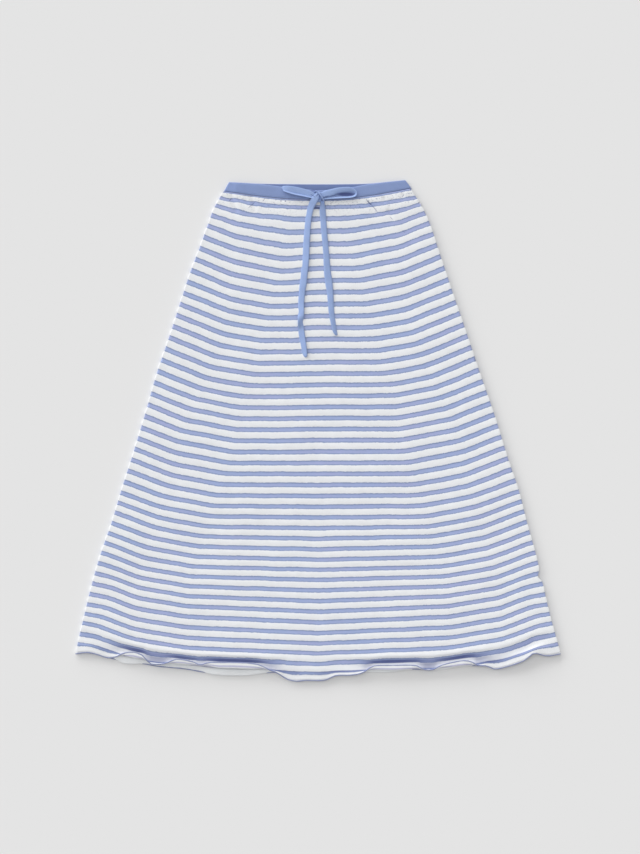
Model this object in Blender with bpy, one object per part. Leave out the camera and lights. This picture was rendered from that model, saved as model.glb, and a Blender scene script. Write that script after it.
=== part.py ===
"""A striped knit skirt, laid flat with its front up.

Metres, +Z up. The skirt lies on z = 0 with its waist towards +Y and its hem
towards -Y, so it is seen from straight above as it would be worn, upright.
The origin is on that surface, under the middle of the skirt's box.

A stripe number counts the blue stripes down from the waist seam. The cloth's
points are worked out from a stripe number and a column that counts from the
left side seam to the right one.
"""

from collections import namedtuple
from math import cos, pi, sin, sqrt

import bmesh
import bpy
from mathutils import Vector

# Cloth
BACK_WALL = 0.0018        # the back lies flat, so its wall is plain
FRONT_WALL = 0.0014       # in the blue grooves of the front
HEM_WALL = 0.0012
SIDE_WALL = 0.0010        # the front's wall where it folds down at a side seam
BAND_WALL = 0.0017
SEAM_GAP = 0.0003         # between two pieces that are sewn together
REST = BACK_WALL + SEAM_GAP

# Ripple of the knit: a blue groove, then a puffed white rib
RIB_RISE = 0.0009
RIB_START = 0.30          # share of a stripe's pitch where the white rib begins
RIB_END = 0.70
RIB_BULGE = 0.0008        # how far a white rib pushes the side edge outwards

# Air between the two layers
LOFT = 0.0015
LOFT_REACH = 0.035        # from a side seam to the full height

# Stripes
LAST_BLUE = 43
HEM_STRIPE = 43.3         # the cut edge, a little below the last blue stripe
FIELD_END = 39            # the hem's waves start below this stripe
BLEND_START = 40.0        # where a stripe starts to follow the hem's waves
DIP_START = 41.0
DIP_END = 42.3            # the bottom of the trough along the hem
HEM_ROWS = (39, 39.3, 39.7, 40, 40.3, 40.7, 41, 41.3, 41.7, 42, 42.3, 42.65, 43, 43.3)
INNER_ROWS = (0, 3, 6, 9, 12, 15, 18, 21, 24, 27, 30, 33, 36)
SLOPE_STEP = 0.1          # part of a stripe over which the hem's slope is measured
STEEPEST = 1.4            # slope past which the wall isn't made thicker
SETTLE = 4                # rounds in which a point finds its place on a slanting stripe

# Columns of the front: their distances in from each side seam, then the middle
SIDE_STEPS = (0.0, 0.012, 0.042, 0.084, 0.125, 0.167)
MIDDLE_CELLS = 8
SIDE_CELLS = len(SIDE_STEPS) - 1
COLUMNS = 2 * SIDE_CELLS + MIDDLE_CELLS
HEM_SPLIT = 3             # hem columns for each column of the field
NARROWEST = 0.80          # most of a half that the side steps may take up

BAND_LEVEL = 0.412        # height of the waist seam's ends
BAND_HEIGHT = 0.0165
BAND_ROWS = (0.0, 0.12, 0.5, 0.88, 1.0)
BAND_ROLL = 0.12          # share of the height over which its edges round off
BAND_EDGE = 0.8           # share of the wall that is left there

# Half widths of the skirt at heights from its middle
Outline = namedtuple("Outline", "height left right")
OUTLINE = (
    Outline(0.418, 0.1590, 0.1572),
    Outline(0.412, 0.1617, 0.1612),
    Outline(0.382, 0.1787, 0.1802),
    Outline(0.348, 0.1912, 0.1950),
    Outline(0.312, 0.2041, 0.2064),
    Outline(0.273, 0.2192, 0.2196),
    Outline(0.236, 0.2313, 0.2319),
    Outline(0.198, 0.2436, 0.2450),
    Outline(0.157, 0.2569, 0.2588),
    Outline(0.101, 0.2761, 0.2776),
    Outline(0.026, 0.2977, 0.3035),
    Outline(-0.049, 0.3207, 0.3268),
    Outline(-0.105, 0.3387, 0.3457),
    Outline(-0.156, 0.3538, 0.3586),
    Outline(-0.209, 0.3724, 0.3735),
    Outline(-0.262, 0.3880, 0.3860),
    Outline(-0.316, 0.4012, 0.3985),
    Outline(-0.384, 0.4172, 0.4175),
)

# Heights of blue stripes at the middle of the front
Stripe = namedtuple("Stripe", "number height")
STRIPES = (
    Stripe(0, 0.3973),
    Stripe(1, 0.3843),
    Stripe(5, 0.3004),
    Stripe(10, 0.1984),
    Stripe(15, 0.0986),
    Stripe(20, 0.0027),
    Stripe(25, -0.0935),
    Stripe(30, -0.1853),
    Stripe(35, -0.2734),
    Stripe(40, -0.3633),
    Stripe(43, -0.4148),
    Stripe(HEM_STRIPE, -0.4199),
)

# The widened panel: a stripe is level at the middle, rises gently from its
# first kink and steeply from its second, and levels off beside the seam
Rise = namedtuple("Rise", "number kink gentle steep level")
RISES = (
    Rise(1, 0.150, 0.045, 0.165, 0.000),
    Rise(5, 0.160, 0.080, 0.255, 0.000),
    Rise(10, 0.155, 0.160, 0.380, 0.000),
    Rise(18, 0.165, 0.175, 0.355, 0.000),
    Rise(25, 0.178, 0.175, 0.375, 0.000),
    Rise(30, 0.187, 0.185, 0.345, 0.004),
    Rise(35, 0.193, 0.190, 0.380, 0.010),
    Rise(42, 0.236, 0.165, 0.390, 0.032),
    Rise(HEM_STRIPE, 0.240, 0.165, 0.390, 0.036),
)
SECOND_KINK = 0.084
LEVEL_ROUND = 0.004

# Heights of the waist's edges, by share of the half width
Waist = namedtuple("Waist", "share seam front_top back_top")
WAIST = (
    Waist(-1.00, 0.4115, 0.4270, 0.4270),
    Waist(-0.67, 0.4038, 0.4238, 0.4246),
    Waist(-0.35, 0.3988, 0.4180, 0.4238),
    Waist(0.00, 0.3976, 0.4134, 0.4235),
    Waist(0.30, 0.3989, 0.4160, 0.4237),
    Waist(0.60, 0.4045, 0.4238, 0.4248),
    Waist(1.00, 0.4166, 0.4304, 0.4304),
)
BAND_TOP_LEFT = 0.1531
BAND_TOP_RIGHT = 0.1503

# Turns of the front's hem: where the edge is, how far its underside stands
# off the back, and how deep the trough above it is
Wave = namedtuple("Wave", "across height lift dip")
FRONT_HEM = (
    Wave(-0.4173, -0.3838, 0.0008, 0.0),
    Wave(-0.3956, -0.3814, 0.0026, 0.2),
    Wave(-0.3612, -0.3898, 0.0012, 0.3),
    Wave(-0.3165, -0.3807, 0.0070, 0.9),
    Wave(-0.2855, -0.4007, 0.0040, 1.0),
    Wave(-0.2460, -0.3945, 0.0072, 1.0),
    Wave(-0.2047, -0.4010, 0.0048, 1.0),
    Wave(-0.1514, -0.3976, 0.0066, 1.0),
    Wave(-0.1084, -0.4019, 0.0060, 1.0),
    Wave(-0.0688, -0.4151, 0.0044, 0.6),
    Wave(-0.0361, -0.4300, 0.0010, 0.1),
    Wave(0.0120, -0.4272, 0.0014, 0.0),
    Wave(0.0464, -0.4196, 0.0036, 0.2),
    Wave(0.0826, -0.4125, 0.0046, 0.7),
    Wave(0.1066, -0.4026, 0.0070, 1.0),
    Wave(0.1600, -0.4024, 0.0068, 1.0),
    Wave(0.1892, -0.4098, 0.0044, 1.0),
    Wave(0.2236, -0.3979, 0.0070, 1.0),
    Wave(0.2511, -0.3928, 0.0078, 0.9),
    Wave(0.2821, -0.4038, 0.0050, 0.7),
    Wave(0.3079, -0.4100, 0.0020, 0.5),
    Wave(0.3388, -0.4019, 0.0050, 0.5),
    Wave(0.3732, -0.3824, 0.0064, 0.4),
    Wave(0.3973, -0.3867, 0.0030, 0.2),
    Wave(0.4171, -0.3824, 0.0012, 0.0),
)

# Turns of the back's hem, which shows below the front's here and there
Edge = namedtuple("Edge", "across height lift")
BACK_HEM = (
    Edge(-0.4165, -0.3830, 0.0),
    Edge(-0.3956, -0.3820, 0.0),
    Edge(-0.3543, -0.3932, 0.0),
    Edge(-0.3250, -0.4002, 0.0012),
    Edge(-0.2800, -0.4045, 0.0),
    Edge(-0.2339, -0.4080, 0.0014),
    Edge(-0.2050, -0.4140, 0.0),
    Edge(-0.1750, -0.4196, 0.0016),
    Edge(-0.1376, -0.4206, 0.0010),
    Edge(-0.0900, -0.4176, 0.0),
    Edge(-0.0361, -0.4165, 0.0),
    Edge(0.0464, -0.4160, 0.0),
    Edge(0.0843, -0.4156, 0.0),
    Edge(0.1307, -0.4148, 0.0014),
    Edge(0.1703, -0.4110, 0.0),
    Edge(0.1950, -0.4124, 0.0),
    Edge(0.2305, -0.4062, 0.0012),
    Edge(0.2786, -0.4044, 0.0),
    Edge(0.3388, -0.4000, 0.0),
    Edge(0.3732, -0.3830, 0.0),
    Edge(0.4160, -0.3815, 0.0),
)
BACK_ROWS = (0.0, 0.1, 0.2, 0.3, 0.4, 0.5, 0.6, 0.7, 0.8, 0.9, 0.96, 0.985, 1.0)
BACK_LIFT_START = 0.985
BACK_SPLIT = 2            # columns of the back for each one of the front's field

# The drawstring's two free ends, from the knot down the front
Tie = namedtuple("Tie", "height across width")
LEFT_TAIL = (
    Tie(0.3840, -0.0112, 0.0112),
    Tie(0.3740, -0.0152, 0.0115),
    Tie(0.3480, -0.0181, 0.0112),
    Tie(0.3078, -0.0203, 0.0116),
    Tie(0.2723, -0.0236, 0.0120),
    Tie(0.2368, -0.0275, 0.0108),
    Tie(0.2060, -0.0290, 0.0108),
    Tie(0.1871, -0.0300, 0.0080),
    Tie(0.1740, -0.0288, 0.0104),
    Tie(0.1550, -0.0264, 0.0110),
    Tie(0.1380, -0.0236, 0.0106),
    Tie(0.1262, -0.0208, 0.0066),
)
RIGHT_TAIL = (
    Tie(0.3850, 0.0082, 0.0085),
    Tie(0.3760, 0.0084, 0.0104),
    Tie(0.3434, 0.0105, 0.0104),
    Tie(0.3078, 0.0135, 0.0106),
    Tie(0.2723, 0.0163, 0.0116),
    Tie(0.2368, 0.0204, 0.0112),
    Tie(0.2040, 0.0233, 0.0098),
    Tie(0.1820, 0.0268, 0.0086),
    Tie(0.1705, 0.0296, 0.0068),
    Tie(0.1632, 0.0322, 0.0040),
)
TAPE_WALL = 0.0015
TAPE_SECTION = ((-0.5, 0.0), (-0.38, 0.5), (0.38, 0.5), (0.5, 0.0), (0.38, -0.5), (-0.38, -0.5))
TAPE_CLEAR = 0.0003
TAIL_STATIONS = 30
TAIL_STEP = 0.002         # either side of a station, to find which way the tape runs

# The bow's knot, and the two loops that leave it
KNOT_CENTRE = (0.0010, 0.3985)
KNOT_SIZE = (0.0125, 0.0225, 0.0066)
KNOT_ROUND = 0.0026
LOOP_STATIONS = 8
Loop = namedtuple("Loop", "across height width")
LEFT_LOOP = (
    Loop(-0.0058, 0.4038, 0.0090),
    Loop(-0.0180, 0.4066, 0.0130),
    Loop(-0.0360, 0.4094, 0.0150),
    Loop(-0.0520, 0.4110, 0.0148),
    Loop(-0.0602, 0.4120, 0.0110),
)
RIGHT_LOOP_TOP = (
    Loop(0.0078, 0.4060, 0.0080),
    Loop(0.0200, 0.4092, 0.0082),
    Loop(0.0380, 0.4118, 0.0086),
    Loop(0.0540, 0.4130, 0.0086),
    Loop(0.0655, 0.4110, 0.0080),
)
RIGHT_LOOP_UNDER = (
    Loop(0.0078, 0.4024, 0.0060),
    Loop(0.0200, 0.4026, 0.0060),
    Loop(0.0380, 0.4034, 0.0062),
    Loop(0.0540, 0.4048, 0.0070),
    Loop(0.0655, 0.4085, 0.0080),
)
LOOP_WALL = 0.0012
LOOP_SPLIT = 0.0012       # between a loop's two strands

SHARP = pi / 4            # edges with a larger turn stay sharp

# Colours, linear
WHITE = (0.83, 0.84, 0.83)
BAND_BLUE = (0.19, 0.27, 0.52)
TIE_BLUE = (0.28, 0.38, 0.65)


def clear_scene():
    """Remove what a new file holds."""
    for thing in list(bpy.data.objects):
        bpy.data.objects.remove(thing, do_unlink=True)


def cloth_material(name, colour, roughness=0.9):
    """Plain matt cloth of one colour."""
    material = bpy.data.materials.new(name)
    material.use_nodes = True
    shader = material.node_tree.nodes["Principled BSDF"]
    shader.inputs["Base Color"].default_value = (*colour, 1.0)
    shader.inputs["Roughness"].default_value = roughness
    shader.inputs["Metallic"].default_value = 0.0
    return material


def ease(value):
    """0 below 0, 1 above 1, and a smooth step between."""
    value = min(1.0, max(0.0, value))
    return value * value * (3 - 2 * value)


def mix(first, second, share):
    return first + (second - first) * share


def read(table, at):
    """Read a table as a smooth curve through its rows; the first column is the key."""
    rows = table if table[0][0] < table[-1][0] else table[::-1]
    last = len(rows) - 1
    at = min(rows[last][0], max(rows[0][0], at))
    low = 0
    while low < last - 1 and rows[low + 1][0] < at:
        low += 1
    first, second = rows[low], rows[low + 1]
    span = second[0] - first[0]
    share = (at - first[0]) / span
    values = []
    for column in range(1, len(first)):
        slopes = []
        for row in (low, low + 1):
            before, after = rows[max(0, row - 1)], rows[min(last, row + 1)]
            slopes.append((after[column] - before[column]) / (after[0] - before[0]))
        square, cube = share * share, share ** 3
        values.append(
            (2 * cube - 3 * square + 1) * first[column]
            + (cube - 2 * square + share) * span * slopes[0]
            + (3 * square - 2 * cube) * second[column]
            + (cube - square) * span * slopes[1]
        )
    return table[0]._make([at, *values])


def half_width(height, side):
    """From the middle line to a side seam; side is -1 or 1."""
    row = read(OUTLINE, height)
    return row.left if side < 0 else row.right


def rise(number, inward):
    """How far a stripe has risen at a distance in from the side seam."""
    row = read(RISES, number)
    off = inward - row.level
    inward = row.level + 0.5 * (off + sqrt(off * off + LEVEL_ROUND ** 2))
    gentle = min(max(row.kink - inward, 0.0), row.kink - SECOND_KINK)
    steep = max(SECOND_KINK - inward, 0.0)
    return row.gentle * gentle + row.steep * steep


def column_place(height, column):
    """Across and inward distance of a column where the skirt has a height."""
    side = -1 if column < COLUMNS / 2 else 1
    half = half_width(height, side)
    fit = min(1.0, NARROWEST * half / SIDE_STEPS[-1])
    count = min(column, COLUMNS - column)
    if count <= SIDE_CELLS:
        cell = min(int(count), SIDE_CELLS - 1)
        inward = fit * mix(SIDE_STEPS[cell], SIDE_STEPS[cell + 1], count - cell)
        return side * (half - inward), inward
    fit_left = min(1.0, NARROWEST * half_width(height, -1) / SIDE_STEPS[-1])
    fit_right = min(1.0, NARROWEST * half_width(height, 1) / SIDE_STEPS[-1])
    left = -(half_width(height, -1) - fit_left * SIDE_STEPS[-1])
    right = half_width(height, 1) - fit_right * SIDE_STEPS[-1]
    across = mix(left, right, (column - SIDE_CELLS) / MIDDLE_CELLS)
    return across, half - abs(across)


def seam_height(across):
    """The waist seam, by distance across."""
    half = half_width(BAND_LEVEL, -1 if across < 0 else 1)
    return read(WAIST, across / half).seam - SEAM_GAP


def front_place(number, column):
    """Across, height and inward distance of a point of the front."""
    level = read(STRIPES, max(1.0, number)).height
    height = level
    for _ in range(SETTLE):
        across, inward = column_place(height, column)
        height = level + rise(max(1.0, number), inward)
    if number < 1:
        for _ in range(SETTLE):
            top = seam_height(across)
            across, inward = column_place(mix(top, height, number), column)
        height = mix(top, height, number)
    if number > BLEND_START:
        edge = read(STRIPES, HEM_STRIPE).height
        for _ in range(SETTLE):
            edge_inward = column_place(edge, column)[1]
            edge = read(STRIPES, HEM_STRIPE).height + rise(HEM_STRIPE, edge_inward)
        share = ease((number - BLEND_START) / (HEM_STRIPE - BLEND_START))
        moved = share * (read(FRONT_HEM, across).height - edge)
        across, inward = column_place(height + moved, column)
        height += moved
    return across, height, inward


def rib(number):
    """1 on a white rib and 0 in a blue groove."""
    if number > LAST_BLUE:
        return 0.0
    phase = number % 1.0
    return ease(min(phase / RIB_START, (1 - phase) / (1 - RIB_END)))


def under_front(number, across, inward):
    """Height above the ground of the front's underside."""
    loft = REST + LOFT * ease(inward / LOFT_REACH)
    if number <= DIP_START:
        return loft
    wave = read(FRONT_HEM, across)
    dip = min(1.0, max(0.0, wave.dip))
    low = mix(loft, REST, dip * ease((number - DIP_START) / (DIP_END - DIP_START)))
    if number <= DIP_END:
        return low
    return low + max(0.0, REST + wave.lift - low) * ease(
        (number - DIP_END) / (HEM_STRIPE - DIP_END))


def wall_height(number, column, inward):
    """Thickness of the front, measured upwards."""
    wall = mix(FRONT_WALL, HEM_WALL, ease((number - DIP_START) / (HEM_STRIPE - DIP_START)))
    wall = mix(SIDE_WALL, wall, ease(inward / SIDE_STEPS[1]))
    if number > DIP_START:
        before, after = number - SLOPE_STEP, min(HEM_STRIPE, number + SLOPE_STEP)
        above, below = front_place(before, column), front_place(after, column)
        climb = under_front(after, below[0], below[2]) - under_front(before, above[0], above[2])
        slope = min(STEEPEST, abs(climb) / abs(above[1] - below[1]))
        wall *= sqrt(1 + slope * slope)
    return wall + RIB_RISE * rib(number)


def front_point(number, column, outer):
    """A point of the front's outer face, or of its plain inside."""
    across, height, inward = front_place(number, column)
    if column in (0, COLUMNS):
        across += (1 if column else -1) * RIB_BULGE * rib(number)
    z = under_front(number, across, inward)
    if outer:
        z += wall_height(number, column, inward)
    return Vector((across, height, z))


def grid(mesh, columns, rows, place):
    """A grid whose points are put where place(row, column) says; returns its rows."""
    made = bmesh.ops.create_grid(mesh, x_segments=columns, y_segments=len(rows) - 1, size=1.0)
    lines = [[None] * (columns + 1) for _ in rows]
    for vertex in made["verts"]:
        column = round((vertex.co.x + 1) / 2 * columns)
        row = round((1 - vertex.co.y) / 2 * (len(rows) - 1))
        lines[row][column] = vertex
    for row, line in enumerate(lines):
        for column, vertex in enumerate(line):
            vertex.co = place(rows[row], column)
    return lines


def finish(name, mesh, material):
    """Make the named object from its bmesh."""
    bmesh.ops.recalc_face_normals(mesh, faces=mesh.faces)
    data = bpy.data.meshes.new(name)
    mesh.to_mesh(data)
    mesh.free()
    data.shade_smooth()
    data.set_sharp_from_angle(angle=SHARP)
    data.materials.append(material)
    piece = bpy.data.objects.new(name, data)
    bpy.context.collection.objects.link(piece)
    return piece


def weave_grids(mesh, coarse, fine):
    """Join a coarse grid's last row to a fine grid's first, HEM_SPLIT cells to one."""
    for cell in range(COLUMNS):
        start = cell * HEM_SPLIT
        fines = [fine[0][start + step] for step in range(HEM_SPLIT + 1)]
        mesh.faces.new([coarse[-1][cell + 1], coarse[-1][cell]] + fines)


def make_front(material):
    """The front, from the waist seam to its wavy hem."""
    mesh = bmesh.new()
    field = [number + part for number in range(FIELD_END) for part in (0, RIB_START, RIB_END)]
    hem_columns = COLUMNS * HEM_SPLIT

    def outer(number, column):
        return front_point(number, column, True)

    def inner(number, column):
        return front_point(number, column, False)

    def outer_hem(number, column):
        return front_point(number, column / HEM_SPLIT, True)

    def inner_hem(number, column):
        return front_point(number, column / HEM_SPLIT, False)

    top_field = grid(mesh, COLUMNS, field, outer)
    top_hem = grid(mesh, hem_columns, HEM_ROWS, outer_hem)
    weave_grids(mesh, top_field, top_hem)
    under_field = grid(mesh, COLUMNS, INNER_ROWS, inner)
    under_hem = grid(mesh, hem_columns, HEM_ROWS, inner_hem)
    weave_grids(mesh, under_field, under_hem)

    for cell in range(COLUMNS):
        mesh.faces.new([top_field[0][cell], top_field[0][cell + 1],
                        under_field[0][cell + 1], under_field[0][cell]])
    for cell in range(hem_columns):
        mesh.faces.new([top_hem[-1][cell + 1], top_hem[-1][cell],
                        under_hem[-1][cell], under_hem[-1][cell + 1]])
    for column in (0, -1):
        close_side(mesh, top_field, field, under_field, INNER_ROWS, column)
        tops = [line[column] for line in top_field[field.index(INNER_ROWS[-1]):]]
        mesh.faces.new(tops + [top_hem[0][column], under_hem[0][column], under_field[-1][column]])
        for row in range(len(HEM_ROWS) - 1):
            mesh.faces.new([top_hem[row][column], top_hem[row + 1][column],
                            under_hem[row + 1][column], under_hem[row][column]])
    return finish("front_panel", mesh, material)


def close_side(mesh, upper, upper_rows, lower, lower_rows, column):
    """Join one side of two grids; the lower one has some of the upper one's rows."""
    for cell in range(len(lower_rows) - 1):
        first = upper_rows.index(lower_rows[cell])
        last = upper_rows.index(lower_rows[cell + 1])
        tops = [upper[row][column] for row in range(first, last + 1)]
        mesh.faces.new(tops + [lower[cell + 1][column], lower[cell][column]])


def back_seam(across):
    """The back's waist seam, by distance across."""
    half = half_width(BAND_LEVEL, -1 if across < 0 else 1)
    return read(WAIST, across / half).back_top - BAND_HEIGHT - SEAM_GAP


def back_place(share, column):
    """Across and height of a point of the back, by share of the way to its hem."""
    height = mix(back_seam(0.0), read(BACK_HEM, 0.0).height, share)
    for _ in range(SETTLE):
        across = column_place(height, column / BACK_SPLIT)[0]
        height = mix(back_seam(across), read(BACK_HEM, across).height, share)
    return across, height


def make_back(material):
    """The back, flat on the ground, with its own hem edge."""
    columns = COLUMNS * BACK_SPLIT

    def place(share, column, outer):
        across, height = back_place(share, column)
        z = BACK_WALL if outer else 0.0
        if share > BACK_LIFT_START:
            z += max(0.0, read(BACK_HEM, across).lift)
        return Vector((across, height, z))

    mesh = bmesh.new()
    upper = grid(mesh, columns, BACK_ROWS, lambda share, column: place(share, column, True))
    lower = grid(mesh, columns, BACK_ROWS, lambda share, column: place(share, column, False))
    join_grids(mesh, upper, lower)
    return finish("back_panel", mesh, material)


def join_grids(mesh, upper, lower):
    """Close the rim between two grids that match point by point."""
    tops, bottoms = rim(upper), rim(lower)
    for index, top in enumerate(tops):
        mesh.faces.new([tops[index - 1], top, bottoms[index], bottoms[index - 1]])


def rim(lines):
    """A grid's outer points, once round."""
    right = [line[-1] for line in lines[1:-1]]
    left = [line[0] for line in lines[1:-1]]
    return lines[0] + right + lines[-1][::-1] + left[::-1]


def make_band(name, material, front):
    """Half of the waistband: a strip from its seam, on the panel's own points, to its top."""
    columns = COLUMNS if front else COLUMNS * BACK_SPLIT

    def place(share_up, column, outer):
        across, bottom = front_place(0, column)[:2] if front else back_place(0, column)
        bottom += SEAM_GAP
        side = -1 if across < 0 else 1
        half = half_width(bottom, side)
        waist = read(WAIST, across / half)
        top = waist.front_top if front else waist.back_top
        top_across = across * (BAND_TOP_LEFT if side < 0 else BAND_TOP_RIGHT) / half
        z = REST + LOFT * ease((half - abs(across)) / LOFT_REACH) if front else 0.0
        if outer:
            crown = ease(min(share_up, 1 - share_up) / BAND_ROLL)
            z += BAND_WALL * (mix(BAND_EDGE, 1.0, crown) if front else 1.0)
        return Vector((mix(across, top_across, share_up), mix(bottom, top, share_up), z))

    mesh = bmesh.new()
    upper = grid(mesh, columns, BAND_ROWS, lambda share, column: place(share, column, True))
    lower = grid(mesh, columns, BAND_ROWS, lambda share, column: place(share, column, False))
    join_grids(mesh, upper, lower)
    return finish(name, mesh, material)


def tape(name, material, stations):
    """A flat tape swept through stations of (centre, across, up, width, wall)."""
    mesh = bmesh.new()
    rings = []
    for centre, across, up, width, wall in stations:
        rings.append([mesh.verts.new(centre + across * (width * u) + up * (wall * v))
                      for u, v in TAPE_SECTION])
    for first, second in zip(rings, rings[1:]):
        for index in range(len(TAPE_SECTION)):
            mesh.faces.new([first[index - 1], first[index], second[index], second[index - 1]])
    mesh.faces.new(rings[0])
    mesh.faces.new(rings[-1])
    return finish(name, mesh, material)


def front_top_level():
    """Height of the white ribs' tops in the middle of the front."""
    return REST + LOFT + FRONT_WALL + RIB_RISE


def make_tail(name, material, route):
    """A free end of the drawstring, lying on the ribs."""
    level = front_top_level() + TAPE_CLEAR + TAPE_WALL / 2
    stations = []
    for index in range(TAIL_STATIONS + 1):
        height = mix(route[0].height, route[-1].height, index / TAIL_STATIONS)
        here = read(route, height)
        above, below = read(route, height + TAIL_STEP), read(route, height - TAIL_STEP)
        along = Vector((below.across - above.across, below.height - above.height, 0)).normalized()
        stations.append((Vector((here.across, height, level)), along.cross(Vector((0, 0, 1))),
                         Vector((0, 0, 1)), here.width, TAPE_WALL))
    return tape(name, material, stations)


def make_loop(name, material, top, under):
    """A loop of the bow: out along its upper strand, round, and back below it."""
    low = REST + LOFT + BAND_WALL + TAPE_CLEAR + LOOP_WALL / 2
    high = low + LOOP_WALL + LOOP_SPLIT
    middle, radius = (low + high) / 2, (high - low) / 2
    side = 1 if top[-1].across > top[0].across else -1
    out = [read(top, mix(top[0].across, top[-1].across, step / LOOP_STATIONS))
           for step in range(LOOP_STATIONS + 1)]
    back = [read(under, mix(under[-1].across, under[0].across, step / LOOP_STATIONS))
            for step in range(LOOP_STATIONS + 1)]
    stations = []
    for row in out:
        stations.append(loop_station(row, high, Vector((0, 0, 1))))
    for step in range(1, 4):
        angle = pi * step / 4
        tip = mix(out[-1].height, back[0].height, step / 4)
        width = mix(out[-1].width, back[0].width, step / 4)
        up = Vector((side * sin(angle), 0, cos(angle)))
        place = Loop(out[-1].across + side * radius * sin(angle), tip, width)
        stations.append(loop_station(place, middle + radius * cos(angle), up))
    for row in back:
        stations.append(loop_station(row, low, Vector((0, 0, -1))))
    return tape(name, material, stations)


def loop_station(row, z, up):
    return Vector((row.across, row.height, z)), Vector((0, 1, 0)), up, row.width, LOOP_WALL


def make_knot(material):
    """The bow's knot: a small rounded block."""
    mesh = bmesh.new()
    bmesh.ops.create_cube(mesh, size=1.0)
    bmesh.ops.scale(mesh, verts=mesh.verts, vec=KNOT_SIZE)
    bmesh.ops.bevel(mesh, geom=mesh.edges[:] + mesh.verts[:], offset=KNOT_ROUND, segments=3,
                    profile=0.5, affect="EDGES", material=-1)
    low = front_top_level() + TAPE_CLEAR
    bmesh.ops.translate(mesh, verts=mesh.verts, vec=(*KNOT_CENTRE, low + KNOT_SIZE[2] / 2))
    return finish("drawstring_knot", mesh, material)


def main():
    clear_scene()
    white = cloth_material("striped_knit", WHITE)
    blue = cloth_material("band_knit", BAND_BLUE)
    tie = cloth_material("tie_knit", TIE_BLUE)
    make_back(white)
    make_front(white)
    make_band("waistband_back", blue, front=False)
    make_band("waistband_front", blue, front=True)
    make_knot(tie)
    make_loop("loop_left", tie, LEFT_LOOP, LEFT_LOOP)
    make_loop("loop_right", tie, RIGHT_LOOP_TOP, RIGHT_LOOP_UNDER)
    make_tail("tail_left", tie, LEFT_TAIL)
    make_tail("tail_right", tie, RIGHT_TAIL)


main()
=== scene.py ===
"""The looks of a striped knit skirt, laid flat with its front up.

Metres, +Z up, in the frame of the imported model: the skirt lies on z = 0 with
its waist towards +Y. A stripe number counts the blue stripes down from the
waist seam, and a share counts across, from -1 at the left side fold to 1 at
the right one.
"""

from collections import namedtuple
from math import cos, pi, radians, sin

import bmesh
import bpy
import numpy as np
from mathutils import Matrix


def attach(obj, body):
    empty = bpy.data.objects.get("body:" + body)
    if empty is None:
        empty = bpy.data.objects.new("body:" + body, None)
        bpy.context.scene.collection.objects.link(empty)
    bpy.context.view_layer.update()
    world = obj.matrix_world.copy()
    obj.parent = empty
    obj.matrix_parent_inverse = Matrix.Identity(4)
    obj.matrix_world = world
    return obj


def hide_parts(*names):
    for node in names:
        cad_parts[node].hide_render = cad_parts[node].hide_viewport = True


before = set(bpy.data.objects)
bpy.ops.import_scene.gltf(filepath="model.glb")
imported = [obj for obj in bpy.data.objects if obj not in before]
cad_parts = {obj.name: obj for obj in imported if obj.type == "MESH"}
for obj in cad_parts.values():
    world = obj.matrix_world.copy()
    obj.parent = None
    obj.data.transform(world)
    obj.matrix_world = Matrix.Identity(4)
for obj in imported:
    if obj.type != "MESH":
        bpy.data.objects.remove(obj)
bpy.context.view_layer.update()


def rows_of(columns, *rows):
    """A table: rows of numbers with named columns, where those before a bar are in millimetres."""
    measures, _, others = columns.rpartition("|")
    many = len(measures.split())
    Row = namedtuple("Row", measures + others)
    return tuple(Row(*(value / 1000 for value in row[:many]), *row[many:]) for row in rows)


# Cloth
FRONT_WALL = 0.0014
HEM_WALL = 0.0012
CLOTH = 0.0012  # thickness of the panels' shells
BACK_CLOTH = 0.0013
BACK_WALL = 0.0018  # what the back takes up with its ripple
SEAM_GAP = 0.0003
REST = BACK_WALL + SEAM_GAP
BAND_WALL = 0.0017
GROUND = 0.00005  # the lowest cloth stands this far off the floor

# Ripple of the knit, over one pitch from the middle of a blue groove
RIPPLE = rows_of("phase rise",
    (0, 0), (0.1, 0.04), (0.19, 0.3), (0.27, 0.72), (0.38, 1), (0.62, 1), (0.73, 0.72), (0.81, 0.3),
    (0.9, 0.04), (1, 0),
)
RIB_RISE = 0.00045
RIB_VARIES = 0.12  # how much higher and lower ribs are here and there
CLOTH_SWELL = 0.00022  # how far the cloth stands up and sinks over wide places
STRIPE_WOBBLE = 0.0004  # how far stripes stray up and down
WAIST_WOBBLE = 0.0005  # and how far more near the waist,
WAIST_WOBBLES = (0, 1, 1, 9)  # which starts, is full, fades and ends at these stripes
SEAM_FLATTENS = (-0.12, 0.18)  # creases get deeper between these two stripe numbers
WAVE_SIZES = (0.6, 1.6)  # smallest and largest soft wave, for the size asked
WAVE_SUM = 3.5  # what the waves may add up to
RIB_BULGE = 0.0008  # how far a white rib pushes the side edge outwards
PITCH = 0.0195  # of cloth from one blue stripe to the next
BLUE_HALF = 0.218  # half of a blue stripe, as a share of the pitch

# Air between the two layers
LOFT = 0.0015
LOFT_REACH = 0.018

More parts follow.
